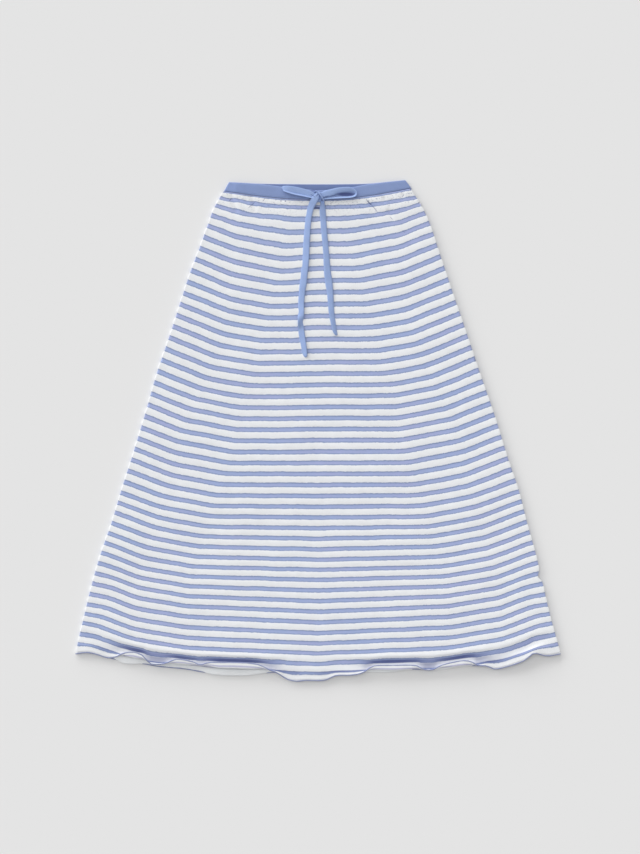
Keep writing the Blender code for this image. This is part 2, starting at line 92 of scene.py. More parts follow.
# Stripes near the hem
FIELD_STRIPES = 41
LAST_BLUE = 43.0
RIBS_END = 43.1
HEM_STRIPE = 43.3
HEM_SHOWN = 43.65  # the stripe number painted at the cut edge
FALL_START = 41.5  # from here the front falls into the trough along its hem
TROUGH = 42.0
TROUGH_END = 42.2
FOLLOW = 0.22  # how far the last stripes go along with the hem's waves
STEEP_LIFT = 0.007  # a hem that stands this high is a steep wall
EDGE_STEP = 0.0012  # least distance from the last blue stripe to the edge
TROUGH_SAG = 0.0036  # how much lower the trough lies where the hem curls
CURL_CLOTH = 0.0258  # of cloth below the trough, which the curl takes up
CURL_ROUND = 0.36  # radius of its fold, as a share of its lift
CREST_LIFT = 0.0007  # how far the rib above the trough is pushed up
CREST = (41.1, 41.6, 41.6, 41.95)  # where that push starts, is full, fades and ends
# Painted shade on the front, where shade falls in the hem's trough and valleys, on its last blue stripe
# and below the waist seam
TROUGH_SHADE_REACH = (41.88, 42.0, 42.2, 42.28)  # the same for the painted shade of the trough,
VALLEY_SHADE_REACH = (42.18, 42.3, 42.8, 42.95)  # of the valleys between the hem's folds
LINE_SHADE_REACH = (42.76, 42.9, 43.0, 43.12)  # and of the last blue stripe
SEAM_SHADE_REACH = (0.16, 0.02)  # where the painted shade line below the waistband starts and is full
TROUGH_SHADE = 0.45  # how dark the painted shade in the trough is where the hem doesn't curl, and the others at most
VALLEY_SHADE = 0.8
SEAM_SHADE = 0.35
SAG_DIP = 2 / 7  # a trough shallower than this doesn't sag
LAST_FOLLOW = 0.9  # how far the last blue stripe goes along, as a share of the others
SETTLE = 4  # rounds in which a point finds its place on a slanting stripe

# Grid of the front
FIELD_PHASES = (0.10, 0.19, 0.27, 0.38, 0.62, 0.73, 0.81, 0.90)
HEM_ROWS = (41.1, 41.24, 41.38, 41.5, 41.6, 41.68, 41.76, 41.84, 41.92, 42.0, 42.1, 42.2, 42.3,
            42.4, 42.48, 42.56, 42.63, 42.7, 42.77, 42.84, 42.91, 42.98, 43.06, 43.14, 43.22, 43.3)
FRONT_CELLS = 112
SIDE_MARGIN = 0.012  # share of the half width that the side fold takes up
FOLD_ANGLES = (78, 48, 12, -25, -55, -85)
FOLD_DEPTH = 0.0030  # how far in the side fold lies at the floor
FOLD_SHOULDER = 0.0004  # and at its top
FOLD_START = 0.9988  # share of the half width where it starts

# Half widths of the skirt at heights from its middle
OUTLINE = rows_of("height left right |",
    (418, 159, 157.2), (412, 161.7, 161.2), (382, 178.7, 180.2), (348, 191.2, 195), (312, 204.1, 206.4),
    (273, 219.2, 219.6), (236, 231.3, 231.9), (198, 243.6, 245), (157, 256.9, 258.8),
    (101, 276.1, 277.6), (26, 297.7, 303.5), (-49, 320.7, 326.8), (-105, 338.7, 345.7),
    (-156, 353.8, 358.6), (-209, 372.4, 373.5), (-262, 388, 386), (-316, 401.2, 398.5),
    (-384, 417.2, 417.5),
)

PINCH_LEVEL = -0.2520  # the right side fold is drawn in at this height
PINCH_DEPTH = 0.0055
PINCH_ABOVE = 0.0100  # how far that reaches up
PINCH_BELOW = 0.0048  # and down

# Heights of blue stripes at the middle of the front
STRIPES = rows_of("number height",
    (0, 0.3973), (1, 0.3843), (5, 0.2994), (10, 0.1972), (15, 0.098), (20, 0.0027), (25, -0.0935),
    (30, -0.1858), (35, -0.2746), (40, -0.3656), (43, -0.4148), (HEM_STRIPE, -0.4199),
)

# How a stripe rises from the middle outwards: hardly, then gently from a first
# distance across, steeply from a second, and less again beside the side fold.
# On the left the upper stripes lie a little lower.
RISES = rows_of("number inner first gentle second steep third outer left",
    (1, 0, 0.026, 0.045, 0.091, 0.165, 0.175, 0.165, 0),
    (3, 0, 0.048, 0.16, 0.138, 0.36, 0.18, 0.36, -0.0026),
    (5, 0, 0.062, 0.2, 0.138, 0.39, 0.197, 0.39, -0.0044),
    (7, 0, 0.072, 0.19, 0.146, 0.41, 0.213, 0.41, -0.0044),
    (10, 0, 0.089, 0.175, 0.151, 0.4, 0.232, 0.4, -0.0034),
    (14, 0, 0.108, 0.17, 0.175, 0.41, 0.255, 0.4, -0.0017),
    (18, 0, 0.134, 0.195, 0.21, 0.405, 0.279, 0.28, -0.0014),
    (22, 0, 0.146, 0.19, 0.244, 0.4, 0.303, 0.3, -0.0008),
    (25, 0.005, 0.167, 0.19, 0.253, 0.4, 0.318, 0.25, 0),
    (28, 0.01, 0.186, 0.19, 0.272, 0.375, 0.336, 0.28, 0),
    (30, 0.02, 0.198, 0.185, 0.279, 0.38, 0.349, 0.28, 0),
    (32, 0.022, 0.206, 0.172, 0.289, 0.38, 0.358, 0.29, 0),
    (35, 0.032, 0.22, 0.17, 0.306, 0.385, 0.366, 0.26, 0),
    (37, 0.042, 0.224, 0.165, 0.31, 0.39, 0.36, 0.2, 0),
    (39, 0.044, 0.227, 0.165, 0.316, 0.4, 0.368, 0.14, 0),
    (41, 0.04, 0.222, 0.165, 0.319, 0.38, 0.38, 0.18, 0),
    (HEM_STRIPE, 0.03, 0.222, 0.165, 0.318, 0.37, 0.386, 0.18, 0),
)
TURN_ROUND = 0.006  # over which a stripe turns from one slope to the next
LEFT_REACH = 0.055  # from the middle to where the left lies fully lower

# Heights of the waist's edges, by share of the half width
WAIST = rows_of("share seam front_top back_top",
    (-1, 0.4115, 0.427, 0.427), (-0.67, 0.4038, 0.4238, 0.4246), (-0.35, 0.3988, 0.418, 0.4238),
    (0, 0.3976, 0.4134, 0.4235), (0.3, 0.3989, 0.416, 0.4237), (0.6, 0.4045, 0.4238, 0.4248),
    (1, 0.4166, 0.4304, 0.4304),
)
BAND_LEVEL = 0.412
BAND_HEIGHT = 0.0165
BAND_TOP_LEFT = 0.1531
BAND_TOP_RIGHT = 0.1503

# Turns of the front's hem: where its cut edge is, how far it stands off the
# back, how deep the trough above it is, how far it curls back over itself, and
# how much painted shade it gets between its folds
FRONT_HEM = rows_of("across height lift | dip curl shade",
    (-418, -384.3, 0.8, 0, 0, 0),
    (-395.3, -380.7, 2.6, 0.2, 0, 0),
    (-379.4, -383.7, 2, 0.2, 0, 0.3),
    (-361, -390, 1.2, 0.3, 0, 0.5),
    (-346.8, -388, 3, 0.6, 0.1, 0.6),
    (-335.4, -382.3, 5.5, 0.8, 0.6, 0.2),
    (-319.6, -380, 7, 0.9, 1, 0),
    (-305.3, -383.6, 7, 1, 0.9, 0),
    (-298.2, -387.9, 6.5, 1, 0.6, 0.3),
    (-291, -397.9, 4.5, 1, 0.15, 0.8),
    (-284, -400.7, 4, 1, 0, 0.9),
    (-265.4, -400, 4.5, 1, 0, 0.9),
    (-255.4, -396.5, 6, 1, 0.3, 0.6),
    (-242.5, -392.2, 7.2, 1, 0.8, 0.1),
    (-215.5, -396.5, 6, 1, 0.6, 0.2),
    (-202.3, -401.7, 4.8, 1, 0.25, 0.6),
    (-188.7, -398.3, 6, 1, 0.6, 0.3),
    (-168.7, -397.8, 6.6, 1, 1, 0),
    (-125.9, -398.6, 6.4, 1, 1, 0),
    (-103.2, -401.4, 6.2, 1, 0.8, 0.3),
    (-93.2, -405.3, 5.6, 0.9, 0.5, 0.6),
    (-83.2, -410.3, 5, 0.8, 0.2, 0.9),
    (-71.7, -414.6, 4.2, 0.6, 0, 0.9),
    (-61.9, -421.1, 2.4, 0.4, 0, 0.7),
    (-53.3, -426.8, 1.4, 0.2, 0, 0.5),
    (-36.1, -430.5, 1, 0.1, 0, 0.5),
    (-24, -428.9, 1.2, 0, 0, 0.2),
    (12, -428.4, 1.4, 0, 0, 0.5),
    (30.6, -420.5, 2.6, 0.1, 0, 0.75),
    (54.9, -419.8, 3.4, 0.2, 0, 0.6),
    (71.9, -417, 4, 0.4, 0, 0.7),
    (81.9, -412, 4.8, 0.7, 0.15, 0.9),
    (89.1, -407, 6, 0.9, 0.5, 0.7),
    (97.7, -403.4, 7, 1, 0.8, 0.2),
    (129, -402.7, 7, 1, 1, 0),
    (168.9, -403.4, 6.6, 1, 0.7, 0.3),
    (181.8, -409.8, 4.6, 1, 0.2, 0.9),
    (197.5, -409.8, 4.4, 1, 0.15, 0.9),
    (211.6, -402.7, 6.2, 1, 0.6, 0.4),
    (234.6, -397.1, 7.2, 1, 0.95, 0.1),
    (251.1, -394.7, 7.6, 1, 1, 0.1),
    (264, -396.9, 7, 1, 0.8, 0.3),
    (274, -402.6, 5.4, 0.9, 0.4, 0.9),
    (289.6, -403.9, 3.4, 0.7, 0.1, 1),
    (303.9, -409.4, 2.2, 0.5, 0, 0.8),
    (323.9, -405.3, 3.2, 0.5, 0, 0.5),
    (345.4, -398.3, 4.6, 0.5, 0, 0.4),
    (356.7, -392.6, 5.6, 0.5, 0, 0.4),
    (363.9, -385.4, 6.2, 0.45, 0.2, 0.4),
    (368.1, -382.6, 6.4, 0.4, 0.25, 0.4),
    (375.3, -382.6, 5.6, 0.35, 0.2, 0.25),
    (383.9, -386, 3.6, 0.3, 0, 0),
    (395.3, -386.5, 2.6, 0.2, 0, 0),
    (415.2, -382.6, 1.2, 0, 0, 0),
)

# Turns of the back's hem, which shows below the front's here and there: where
# it ends, how far it stands off the floor, and where its cut edge is tucked under
BACK_HEM = rows_of("across height lift | tuck",
    (-416.5, -383, 0, 0), (-395.6, -381.5, 0, 0), (-354.3, -393.2, 0, 0.3), (-340, -398.5, 0.8, 1),
    (-325, -400.2, 1.4, 1), (-300, -401.5, 0.6, 0.2), (-280, -404.8, 0, 0), (-233.9, -408.8, 1.4, 0),
    (-205, -414, 0, 0), (-188, -418.2, 1.2, 0.7), (-155, -420, 1.8, 1), (-125.6, -420, 1.6, 1),
    (-105, -418.4, 0.8, 0.6), (-72, -415.2, 0, 0), (-36.1, -415, 0, 0), (46.4, -415.5, 0, 0),
    (84.3, -414.8, 0.6, 0.3), (126.1, -414.2, 1.6, 1), (147.5, -411.2, 1, 0.8), (170, -410, 0, 0),
    (195, -410.4, 0, 0.2), (224.1, -408.8, 1, 1), (238.4, -405.6, 1.2, 1), (270, -404.2, 0, 0.2),
    (285.5, -404, 0, 0), (338.8, -399, 0, 0), (373.2, -382.5, 0, 0), (416, -381.5, 0, 0),
)
BACK_PHASES = (0.0, 0.3, 0.7)
BACK_CELLS = 96
BACK_FOLLOW = 0.5  # how far its last stripes go along with its hem
BACK_FALL = 0.9  # how high its creases stand, as a share of the depth in their table
BACK_TUCK = 0.0044  # the back's sides lie inside the front's side folds
BACK_GROOVE = 0.0003  # how far a blue groove stands off the floor
BACK_CURL = 42.7  # from here the back's edge curls up
BACK_STRIPE_SHIFT = 0.27  # how much higher its last blue stripe lies
SHIFT_START = 41.6
TUCK_RISE = (42.76, 42.98)  # over these its cloth stands up off the floor for a tuck
TUCK_ROUND = 0.0012  # radius of the fold where it turns under
TUCK_TURN = (43.12, 43.22)
TUCK_REACH = 0.0022  # how far its cut edge then lies back below it
TUCK_LIFT = 0.0028
TUCK_SHARP = 3  # how soon a tuck stands up fully from its ends
BACK_ENDS = (41.0, 41.3, 41.7, 42.0, 42.3, 42.5, 42.7, 42.78, 42.84, 42.91, 43.0, 43.06, 43.12,
             43.145, 43.17, 43.195, 43.22, 43.26, 43.3)

# Creases and puckers below the waistband, from one end to the other
CREASE = "across height to_across to_height width depth jog |"
FRONT_CREASES = rows_of(CREASE,
    (-150, 406, -137.6, 370.9, 3.4, 1.4, 2.4),
    (-123.5, 403.5, -120, 390, 2.6, 1, 0.6),
    (-116, 403, -104.9, 372.7, 3.4, 1.5, 2.2),
    (-85, 399, -83, 393, 2.6, 0.8, 0.6),
    (-60, 401, -59, 392.5, 2.8, 1, 0.4),
    (-33, 399, -32.2, 392, 2.6, 0.6, 0),
    (33, 399, 34.2, 392, 2.6, 0.7, 0),
    (60, 400, 62.5, 390, 2.6, 0.8, 0.6),
    (84, 395, 105, 372, 3, 1.9, 1.6),
    (113.5, 402, 115, 392, 2.6, 1, 0.8),
    (121, 380, 131, 356, 3.6, 1.1, -1.4),
    (144, 408, 148, 399, 2.6, 1.2, 0.4),
    (173, 396, 179, 388, 2.8, 1, 0),
)
BACK_CREASES = rows_of(CREASE,
    (-142, 410, -130, 376, 3, 0.9, 1.2),
    (-90, 409, -96, 383, 2.8, 0.8, -0.8),
    (-30, 408, -27, 388, 2.8, 0.7, 0),
    (48, 408, 56, 380, 3, 0.9, 1),
    (113, 409, 106, 385, 2.8, 0.8, -0.6),
    (146, 413, 154, 390, 2.8, 0.9, 0.8),
)
CREASE_REACH = (-0.1, 0.1, 0.65, 1.15)  # where a crease starts, is full, fades and ends
CREASE_LIP = 0.35  # height of the swell beside it, as a share of its depth
LIP_AWAY = 1.9  # and how far off it is, in widths
JOG_REACH = 7  # how far off a crease moves the stripes, in widths
GATHER_STEP = 0.0085  # from one small gather at the waist seam to the next
GATHER_VARIES = 0.2
GATHER_RISE = 0.00022
GATHER_REACH = 0.011

# The drawstring's two free ends, from the knot down the front
TIE = "across height off width | roll"
LEFT_TAIL = rows_of(TIE,
    (1.8, 409.8, 3.6, 7, 8), (0.6, 406, 5, 8.2, 10), (-2.6, 401, 5.2, 10.8, 6),
    (-6.4, 395.5, 4.4, 12.4, 2), (-9.8, 389, 2.2, 11.8, 0), (-13.2, 380, 0.5, 11.3, -2),
    (-16.8, 361.1, 0.1, 10.7, 0), (-19.5, 325.7, 0.1, 11.3, 3), (-21.5, 290.1, 0.2, 12, -2),
    (-23.6, 272.3, 0.1, 12.3, 0), (-25.2, 254.6, 0.1, 12.2, 4), (-27.5, 236.8, 0.3, 10.7, 8),
    (-28.8, 219.1, 0.4, 10.5, 3), (-29, 201.3, 0.3, 11, -4), (-30.1, 187.1, 1.4, 10.4, 44),
    (-28.9, 174.7, 0.5, 10.3, 12), (-26.7, 156.8, 0.1, 11, 0), (-24, 139.1, 0.3, 10.7, -6),
    (-20.7, 126, 0.4, 6.4, -4),
)
RIGHT_TAIL = rows_of(TIE,
    (7.5, 395, 1.2, 7, 0), (7.8, 387.8, 1.2, 7.8, 0), (8, 379.1, 0.6, 10.4, 4),
    (9.2, 361, 0.1, 10.3, 0), (10.5, 343.4, 0.1, 10.2, -3), (13.8, 308, 0.1, 10, 0),
    (16.3, 272.3, 0.1, 11.9, 3), (18.6, 254.6, 0.2, 12.5, -2), (20.8, 236.8, 0.3, 11, -5),
    (22.1, 219.1, 0.2, 10.2, 0), (23.5, 201.3, 0.2, 9.6, 5), (26.5, 183.4, 0.4, 8.8, 14),
    (29, 171.1, 1, 8, 26), (32.2, 163.6, 1.2, 5.8, 32),
)
TAIL_SAG = 0.0002  # how far a free end sinks into each blue groove

# The bow, with heights off the floor: out along each loop and back below it
TURN = "across height level width | roll"
LEFT_LOOP = rows_of(TURN,
    (3, 399, 7.8, 7, 0), (-5, 401.8, 8.2, 9, 0), (-13, 405.4, 8.4, 11, 7), (-24.6, 409.6, 8, 11.4, 7),
    (-39.6, 413, 7.9, 11.4, 7), (-50, 414.5, 7.9, 11.2, 7), (-57, 414.8, 7.3, 11.2, 0),
    (-60.4, 414.2, 6.9, 11, 0), (-57.8, 413.2, 6.5, 11.2, 0), (-50.6, 410.8, 6.4, 11.4, 0),
    (-39.6, 407.8, 6.4, 11.6, 0), (-24.6, 404.8, 6.4, 11.6, 0), (-13, 402, 6.5, 10.4, 0),
    (-4, 399.4, 6.7, 7.8, 0), (3, 398, 6.7, 6, 0),
)
RIGHT_LOOP = rows_of(TURN,
    (-2, 400, 8.4, 6.6, 0), (6, 404.2, 8.8, 9.4, 0), (15, 407, 8.6, 11.4, -2),
    (23.5, 409, 8.4, 11.2, -4), (32.2, 412, 8.3, 9.6, -8), (44, 413.8, 8.2, 8.6, -12),
    (54, 414, 8.1, 8.2, -18), (62, 411.4, 8, 7, -38), (65.6, 407.2, 7.8, 5.8, -54),
    (63, 403.2, 7.7, 5, -58), (55, 401, 7.6, 4.6, -56), (42, 400.4, 7.4, 4.8, -54),
    (28, 400, 7.2, 5.4, -50), (16, 399.6, 7, 6, -46), (6, 399, 6.8, 6.4, -36), (-2, 398.5, 6.6, 6, -20),
)
KNOT_WRAP = rows_of(TURN,
    (-3, 408, 6, 7.8, 0), (-1.8, 409.8, 7.8, 8, 0), (0.6, 409.4, 10.2, 8.2, 0),
    (3.4, 406, 11.6, 8.4, -4), (6.4, 401.4, 11.8, 8.6, -8), (9, 397.2, 10.8, 8.4, -10),
    (10.4, 394.4, 8.8, 8, -8), (9.6, 393, 6.8, 7.6, 0), (6, 393.6, 6, 7, 0),
)
KNOT_CORE = ((0.0012, 0.3998, 0.0078), (0.0128, 0.0150, 0.0044))  # its middle and its size

# Painted shade: soft dark spots where shade falls close under the bow and in the
# finest creases: half their size along and across, turned up from the right by degrees
SHADE_SPOT = "across height along wide | turn dark"
BAND_SHADE_SPOTS = rows_of(SHADE_SPOT,
    (48, 406, 15, 3.2, 0, 0.95),
    (-6, 412.8, 7.5, 1.2, 0, 0.55),
    (-11, 399.6, 6, 1.4, 0, 0.55),
)
TIE_SHADE_SPOTS = rows_of(SHADE_SPOT,
    (-1.2, 404, 3.4, 0.9, 50, 0.65),
    (2.2, 403.4, 3.2, 0.7, -58, 0.6),
    (7.8, 398.2, 4, 0.6, 38, 0.45),
    (-10, 404, 4, 0.8, -38, 0.45),
    (-7, 402.2, 3.2, 0.8, -40, 0.45),
    (15, 402, 4, 0.8, 14, 0.55),
    (25.5, 403.2, 5, 0.8, 12, 0.45),
)
FRONT_SHADE_SPOTS = rows_of(SHADE_SPOT,
    (-2, 382.6, 6, 2, 0, 0.75),
    (-12, 396, 5, 1.6, 0, 0.35),
    (88, 391.5, 6.2, 1, -45, 0.85),
    (97.5, 381.5, 8.5, 0.9, -52, 0.45),
    (-113.7, 387.9, 9, 0.8, 42, 0.5),
    (-151, 396, 4, 0.8, 50, 0.5),
    (-56, 394.3, 1.3, 1.1, 0, 0.85),
    (-63.8, 394.6, 1.2, 1, 0, 0.65),
    (146.2, 403.6, 3, 0.7, 60, 0.55),
    (173.7, 391.5, 2.6, 0.8, -30, 0.6),
    (126, 365, 4, 0.7, -45, 0.4),
    (147, 342, 3.4, 0.7, -40, 0.3),
)

# The tie's tape, with its section in widths and thicknesses
TAPE = 0.0013  # its thickness
TAPE_SECTION = ((-0.5, 0.0), (-0.485, 0.2), (-0.43, 0.36), (-0.3, 0.46), (-0.1, 0.5), (0.1, 0.5),
                (0.3, 0.46), (0.43, 0.36), (0.485, 0.2), (0.5, 0.0), (0.47, -0.3), (0.3, -0.5),
                (0.0, -0.5), (-0.3, -0.5), (-0.47, -0.3))
TAPE_STEP = 0.0016  # along the tie from one ring to the next
TAPE_CUP = 0.0003  # how far its edges stand up
CUP_VARIES = 0.25
CUP_WAVE = 0.35  # turn of that wave from ring to ring
CUT_RINGS = 3  # over which a free end narrows to its cut
CUT_NARROW = 0.55

# Overlocked edges
THREAD_ROLL = 0.0011  # radius of the stitched roll along a hem
THREAD_SPARE = 1.13  # most that the roll is thicker anywhere
THREAD_TURN = 0.0021  # from one stitch to the next
THREAD_RINGS = 4  # rings for each stitch
THREAD_SIDES = 8
THREAD_GROOVE = 0.24
THREAD_VARIES = 0.12
THREAD_WAVES = (310.0, 97.0)  # radians for each metre of its two waves of thickness

# Waistband
BAND_CELLS = 132
BAND_FOLD = 0.0019  # outer radius of its side folds
BAND_ANGLES = (75, 45, 15, -15, -45, -75)
BAND_PUFF = 0.10  # how much its wall's thickness varies
BAND_BELOW = 0.625  # share of its wall that is below its middle where it is fullest
BAND_SECTION = ((0.0, 0.5), (0.012, 0.8), (0.05, 0.97), (0.2, 1.02), (0.5, 1.06), (0.8, 1.02),
                (0.93, 0.95), (0.985, 0.78), (1.0, 0.5), (0.985, 0.22), (0.93, 0.05), (0.5, 0.0),
                (0.05, 0.03), (0.012, 0.2))
BAND_MIDDLE = 4  # the point of that section at the middle of its outer side
BAND_INNER = 0.3  # points lower than this are on its inner side

# Knits: width and height of a stitch
PANEL_STITCH = (0.0013, 0.0010)
BAND_STITCH = (0.0011, 0.0011)
TIE_STITCH = (0.0011, 0.0009)
THREAD_STITCH = (0.0008, 0.0006)
STITCH_SLANT = 1.3
STITCH_RISE = 0.00025
YARN_STRAY = 0.075  # how far a stripe's edge strays from loop to loop, in pitches
BLUE_EDGE = 0.02  # half of the blur along it
GROOVE_SHADE_START = 0.05  # the painted shade along the edges of a blue groove starts this far inside the edge
GROOVE_SHADE_END = 0.13
YARN_SCALES = (140.0, 520.0)
LAST_NARROWS = (42.45, 42.6, 0.0, 0.05)  # the last blue stripe is that much narrower
LILAC_LINE = (0.11, 0.05, 0.0, 0.9)  # from where it starts to where it is full
WAIST_PUCKER_SHADE = (2.6, 0.3, 0.0, 0.5)  # painted shade of small puckers gets more towards the waist
PLAIN_TONES = (0.86, 1.12)  # between and on the loops of a plain knit
LOOP_SHOWS = 0.35
BROAD_TONE = 0.12
DARKEST = 0.9  # most that a place of painted shade turns to navy
SHADE_SPOT_BLUR = (1.25, 0.6)  # where a spot of painted shade starts and is full, in its half sizes

# The camera's place and lens, as for the photo
CAMERA_PLACE = (0.00344, 0.00628, 4.08)
CAMERA_LENS = 100

# Lights: how high they stand above the floor, their turn and their spread in degrees
LIGHTS = rows_of("name strength above turn spread",
    ("high_light", 0.45, 65, 225, 40),
    ("low_light_top", 1.30, 14, 192, 24),
    ("low_light_corner", 1.50, 14, 225, 24),
    ("low_light_left", 0.70, 14, 252, 24),
)
SKY_LIGHT = 0.558

# Colours, linear
WHITE = (0.845, 0.86, 0.885)
BLUE = (0.36, 0.44, 0.70)
LILAC_BLUE = (0.39, 0.44, 0.70)
# painted shade along the edges of the blue grooves
GROOVE_SHADE_BLUE = (0.25, 0.32, 0.52)
# painted shade in the hem's trough and valleys, in creases and under the bow
SHADE_NAVY = (0.07, 0.09, 0.24)
LILAC = (0.50, 0.50, 0.68)
BAND_BLUE = (0.265, 0.35, 0.62)
BAND_INSIDE = (0.155, 0.21, 0.41)
INSIDE_WHITE = (0.86, 0.88, 0.90)
TIE_BLUE = (0.335, 0.45, 0.75)
THREAD_BLUE = (0.29, 0.33, 0.53)
FLOOR = (0.81, 0.81, 0.81)


# Shapes of numbers

def ease(value):
    """0 below 0, 1 above 1, and a smooth step between."""
    value = np.clip(value, 0.0, 1.0)
    return value * value * (3 - 2 * value)


def step(value, start, end):
    """A smooth step from 0 at start to 1 at end, where end may be the lower."""
    return ease((value - start) / (end - start))


def between(value, start, full, fading, end):
    """0 up to start, 1 from full to fading, and 0 again from end."""
    return step(value, start, full) * step(value, end, fading)


def mix(first, second, share):
    return first + (second - first) * share


def read(table, at, *names):
    """Columns of a table, or all but the first, as smooth curves through its rows by the first."""
    rows = np.array(sorted(table), float)
    keys = rows[:, 0]
    at = np.clip(np.asarray(at, float), keys[0], keys[-1])
    low = np.clip(np.searchsorted(keys, at) - 1, 0, len(keys) - 2)
    span = keys[low + 1] - keys[low]
    share = (at - keys[low]) / span
    square, cube = share ** 2, share ** 3
    before = np.maximum(np.arange(len(keys)) - 1, 0)
    after = np.minimum(np.arange(len(keys)) + 1, len(keys) - 1)
    found = []
    for name in names or table[0]._fields[1:]:
        values = rows[:, table[0]._fields.index(name)]
        slopes = (values[after] - values[before]) / (keys[after] - keys[before])
        found.append((2 * cube - 3 * square + 1) * values[low]
                     + (cube - 2 * square + share) * span * slopes[low]
                     + (3 * square - 2 * cube) * values[low + 1]
                     + (cube - square) * span * slopes[low + 1])
    return found[0] if len(found) == 1 else found


def shares(table, at, *names):
    """The same for columns that are never below 0 or above 1."""
    return np.clip(read(table, at, *names), 0, 1)


def uneven(across, height, size, seed, waves=6):
    """Soft waves between about -1 and 1, of about that size, the same each time."""
    chance = np.random.default_rng(seed)
    total = 0.0
    for _ in range(waves):
        turn, start = chance.uniform(0, 2 * pi, 2)
        wave = 2 * pi / (size * chance.uniform(*WAVE_SIZES))
        total = total + np.sin((across * cos(turn) + height * sin(turn)) * wave + start)
    return total / WAVE_SUM


def grid(*columns):
    """Values spread over one grid of rows and columns and set side by side."""
    return np.stack(np.broadcast_arrays(*columns), axis=-1)


def lengths(points):
    """How far along a path each of its points is."""
    return np.concatenate([[0.0], np.cumsum(np.linalg.norm(np.diff(points, axis=0), axis=1))])


def unit(vectors):
    return vectors / np.linalg.norm(vectors, axis=-1, keepdims=True)


# Where the cloth lies

def half_width(height, side):
    """From the middle line to a side fold, where side is below or above 0."""
    left, right = read(OUTLINE, height, "left", "right")
    above = height - PINCH_LEVEL
    pinch = PINCH_DEPTH * np.exp(-(above / np.where(above > 0, PINCH_ABOVE, PINCH_BELOW)) ** 2)
    return np.where(side < 0, left, right - pinch)


def rise(number, across):
    """How far a stripe has risen at a distance across."""
    inner, first, gentle, second, steep, third, outer, left = read(RISES, number)
    away = abs(across)
    risen = inner * away
    for start, change in ((first, gentle - inner), (second, steep - gentle), (third, outer - steep)):
        risen = risen + change * 0.5 * (away - start + np.hypot(away - start, TURN_ROUND))
    return risen + left * step(-across, 0, LEFT_REACH)


def waist(across, *names):
    """Heights of the waist's edges at a distance across."""
    return read(WAIST, across / half_width(BAND_LEVEL, across), *names)


def level_place(number, share):
    """Across and height of a stripe before the hem's waves move it."""
    level = read(STRIPES, np.maximum(number, 1.0), "height") + 0.0 * share
    height = level
    for _ in range(SETTLE):
        across = half_width(height, share) * share
        height = level + rise(np.maximum(number, 1.0), across)
    return across, height


def curl_path(number, drop, lift):
    """How far a curled hem runs down and up: down from the trough, round a fold, and back."""
    radius = CURL_ROUND * lift
    straight = (CURL_CLOTH - pi * radius + drop) / 2
    along = CURL_CLOTH * np.clip((number - TROUGH) / (HEM_STRIPE - TROUGH), 0, 1)
    turn = np.clip((along - straight) / radius, 0, pi)
    back = np.maximum(along - straight - pi * radius, 0)
    down = np.minimum(along, straight) + radius * np.sin(turn) - back
    return down, radius * (1 - np.cos(turn))


def panel_place(number, share, seam, hem, follow):
    """Across, height and inward distance of a panel with its own waist seam and hem edge."""
    across, height = level_place(number, share)
    first = height
    for _ in range(SETTLE):
        top = waist(across, seam)
        if seam == "back_top":
            top = top - BAND_HEIGHT
        height = np.where(number < 1, mix(top - SEAM_GAP, first, np.minimum(number, 1)), first)
        across = half_width(height, share) * share
    if np.max(number) > FALL_START - 1:
        last, blue, before = (level_place(at + 0.0 * number, share)[1]
                              for at in (HEM_STRIPE, LAST_BLUE, TROUGH))
        edge, lift = read(hem, across, "height", "lift")
        moved = edge - last
        third = before + follow * moved
        sag = 0.0
        if hem is FRONT_HEM:
            sag = TROUGH_SAG * step(read(hem, across, "dip"), SAG_DIP, 1)
            third = third - sag
        fourth = np.maximum(blue + LAST_FOLLOW * follow * moved, edge + EDGE_STEP)
        steep = np.clip(lift / STEEP_LIFT, 0, 1)
        run = np.clip(number - TROUGH, 0, 1)
        run = mix(run, 1 - (1 - run) ** 2, steep)
        end = np.clip((number - LAST_BLUE) / (HEM_STRIPE - LAST_BLUE), 0, 1)
        bend = mix(mix(third, fourth, run), edge, end)
        if hem is FRONT_HEM:
            down, _ = curl_path(number, third - edge, lift)
            bend = mix(bend, third - down, shares(hem, across, "curl"))
        followed = height + (follow * moved - sag) * step(number, FIELD_STRIPES, TROUGH)
        height = np.where(number > TROUGH, bend, np.where(number > FIELD_STRIPES, followed, height))
        across = half_width(height, share) * share
    inward = half_width(height, share) * (1 - abs(share))
    return across, height, inward


def rib(number):
    """1 on the crest of a white rib and 0 in a blue groove."""
    return np.where(number > RIBS_END, 0.0, read(RIPPLE, number % 1.0, "rise"))


def front_level(number, across, height, inward):
    """Height off the floor of the front's outer face."""
    lift = read(FRONT_HEM, across, "lift")
    dip, curl = shares(FRONT_HEM, across, "dip", "curl")
    low = mix(REST + LOFT, REST, dip * step(number, FALL_START, TROUGH))
    _, curled = curl_path(number, 0.0, lift)
    up = step(number, TROUGH_END, HEM_STRIPE)
    low = low + mix(np.maximum(REST + lift - low, 0) * up, curled, curl)
    low = low + CREST_LIFT * dip * between(number, *CREST)
    wall = mix(FRONT_WALL, HEM_WALL, step(number, FALL_START, FALL_START + 1))
    crest = RIB_RISE * rib(number) * (1 - curl * step(number, TROUGH, TROUGH + 1))
    crest = crest * (1 + RIB_VARIES * uneven(across, height, size=0.07, seed=3))
    swell = CLOTH_SWELL * uneven(across, height, size=0.12, seed=5) * step(inward, 0, LOFT_REACH)
    return low + wall + crest + swell


def shade_at(number, across):
    """Painted shade on the front: how dark it is in the trough along its hem, between the hem's folds,
    on its last blue stripe and below the waist seam.
    """
    dip, curl, shade = shares(FRONT_HEM, across, "dip", "curl", "shade")
    trough = dip * mix(TROUGH_SHADE, 1.0, curl) * between(number, *TROUGH_SHADE_REACH)
    valley = VALLEY_SHADE * shade * dip * between(number, *VALLEY_SHADE_REACH)
    line = shade * (1 - curl) * between(number, *LINE_SHADE_REACH)
    seam = SEAM_SHADE * step(number, *SEAM_SHADE_REACH)
    return np.maximum(np.maximum(trough, valley), np.maximum(line, seam))


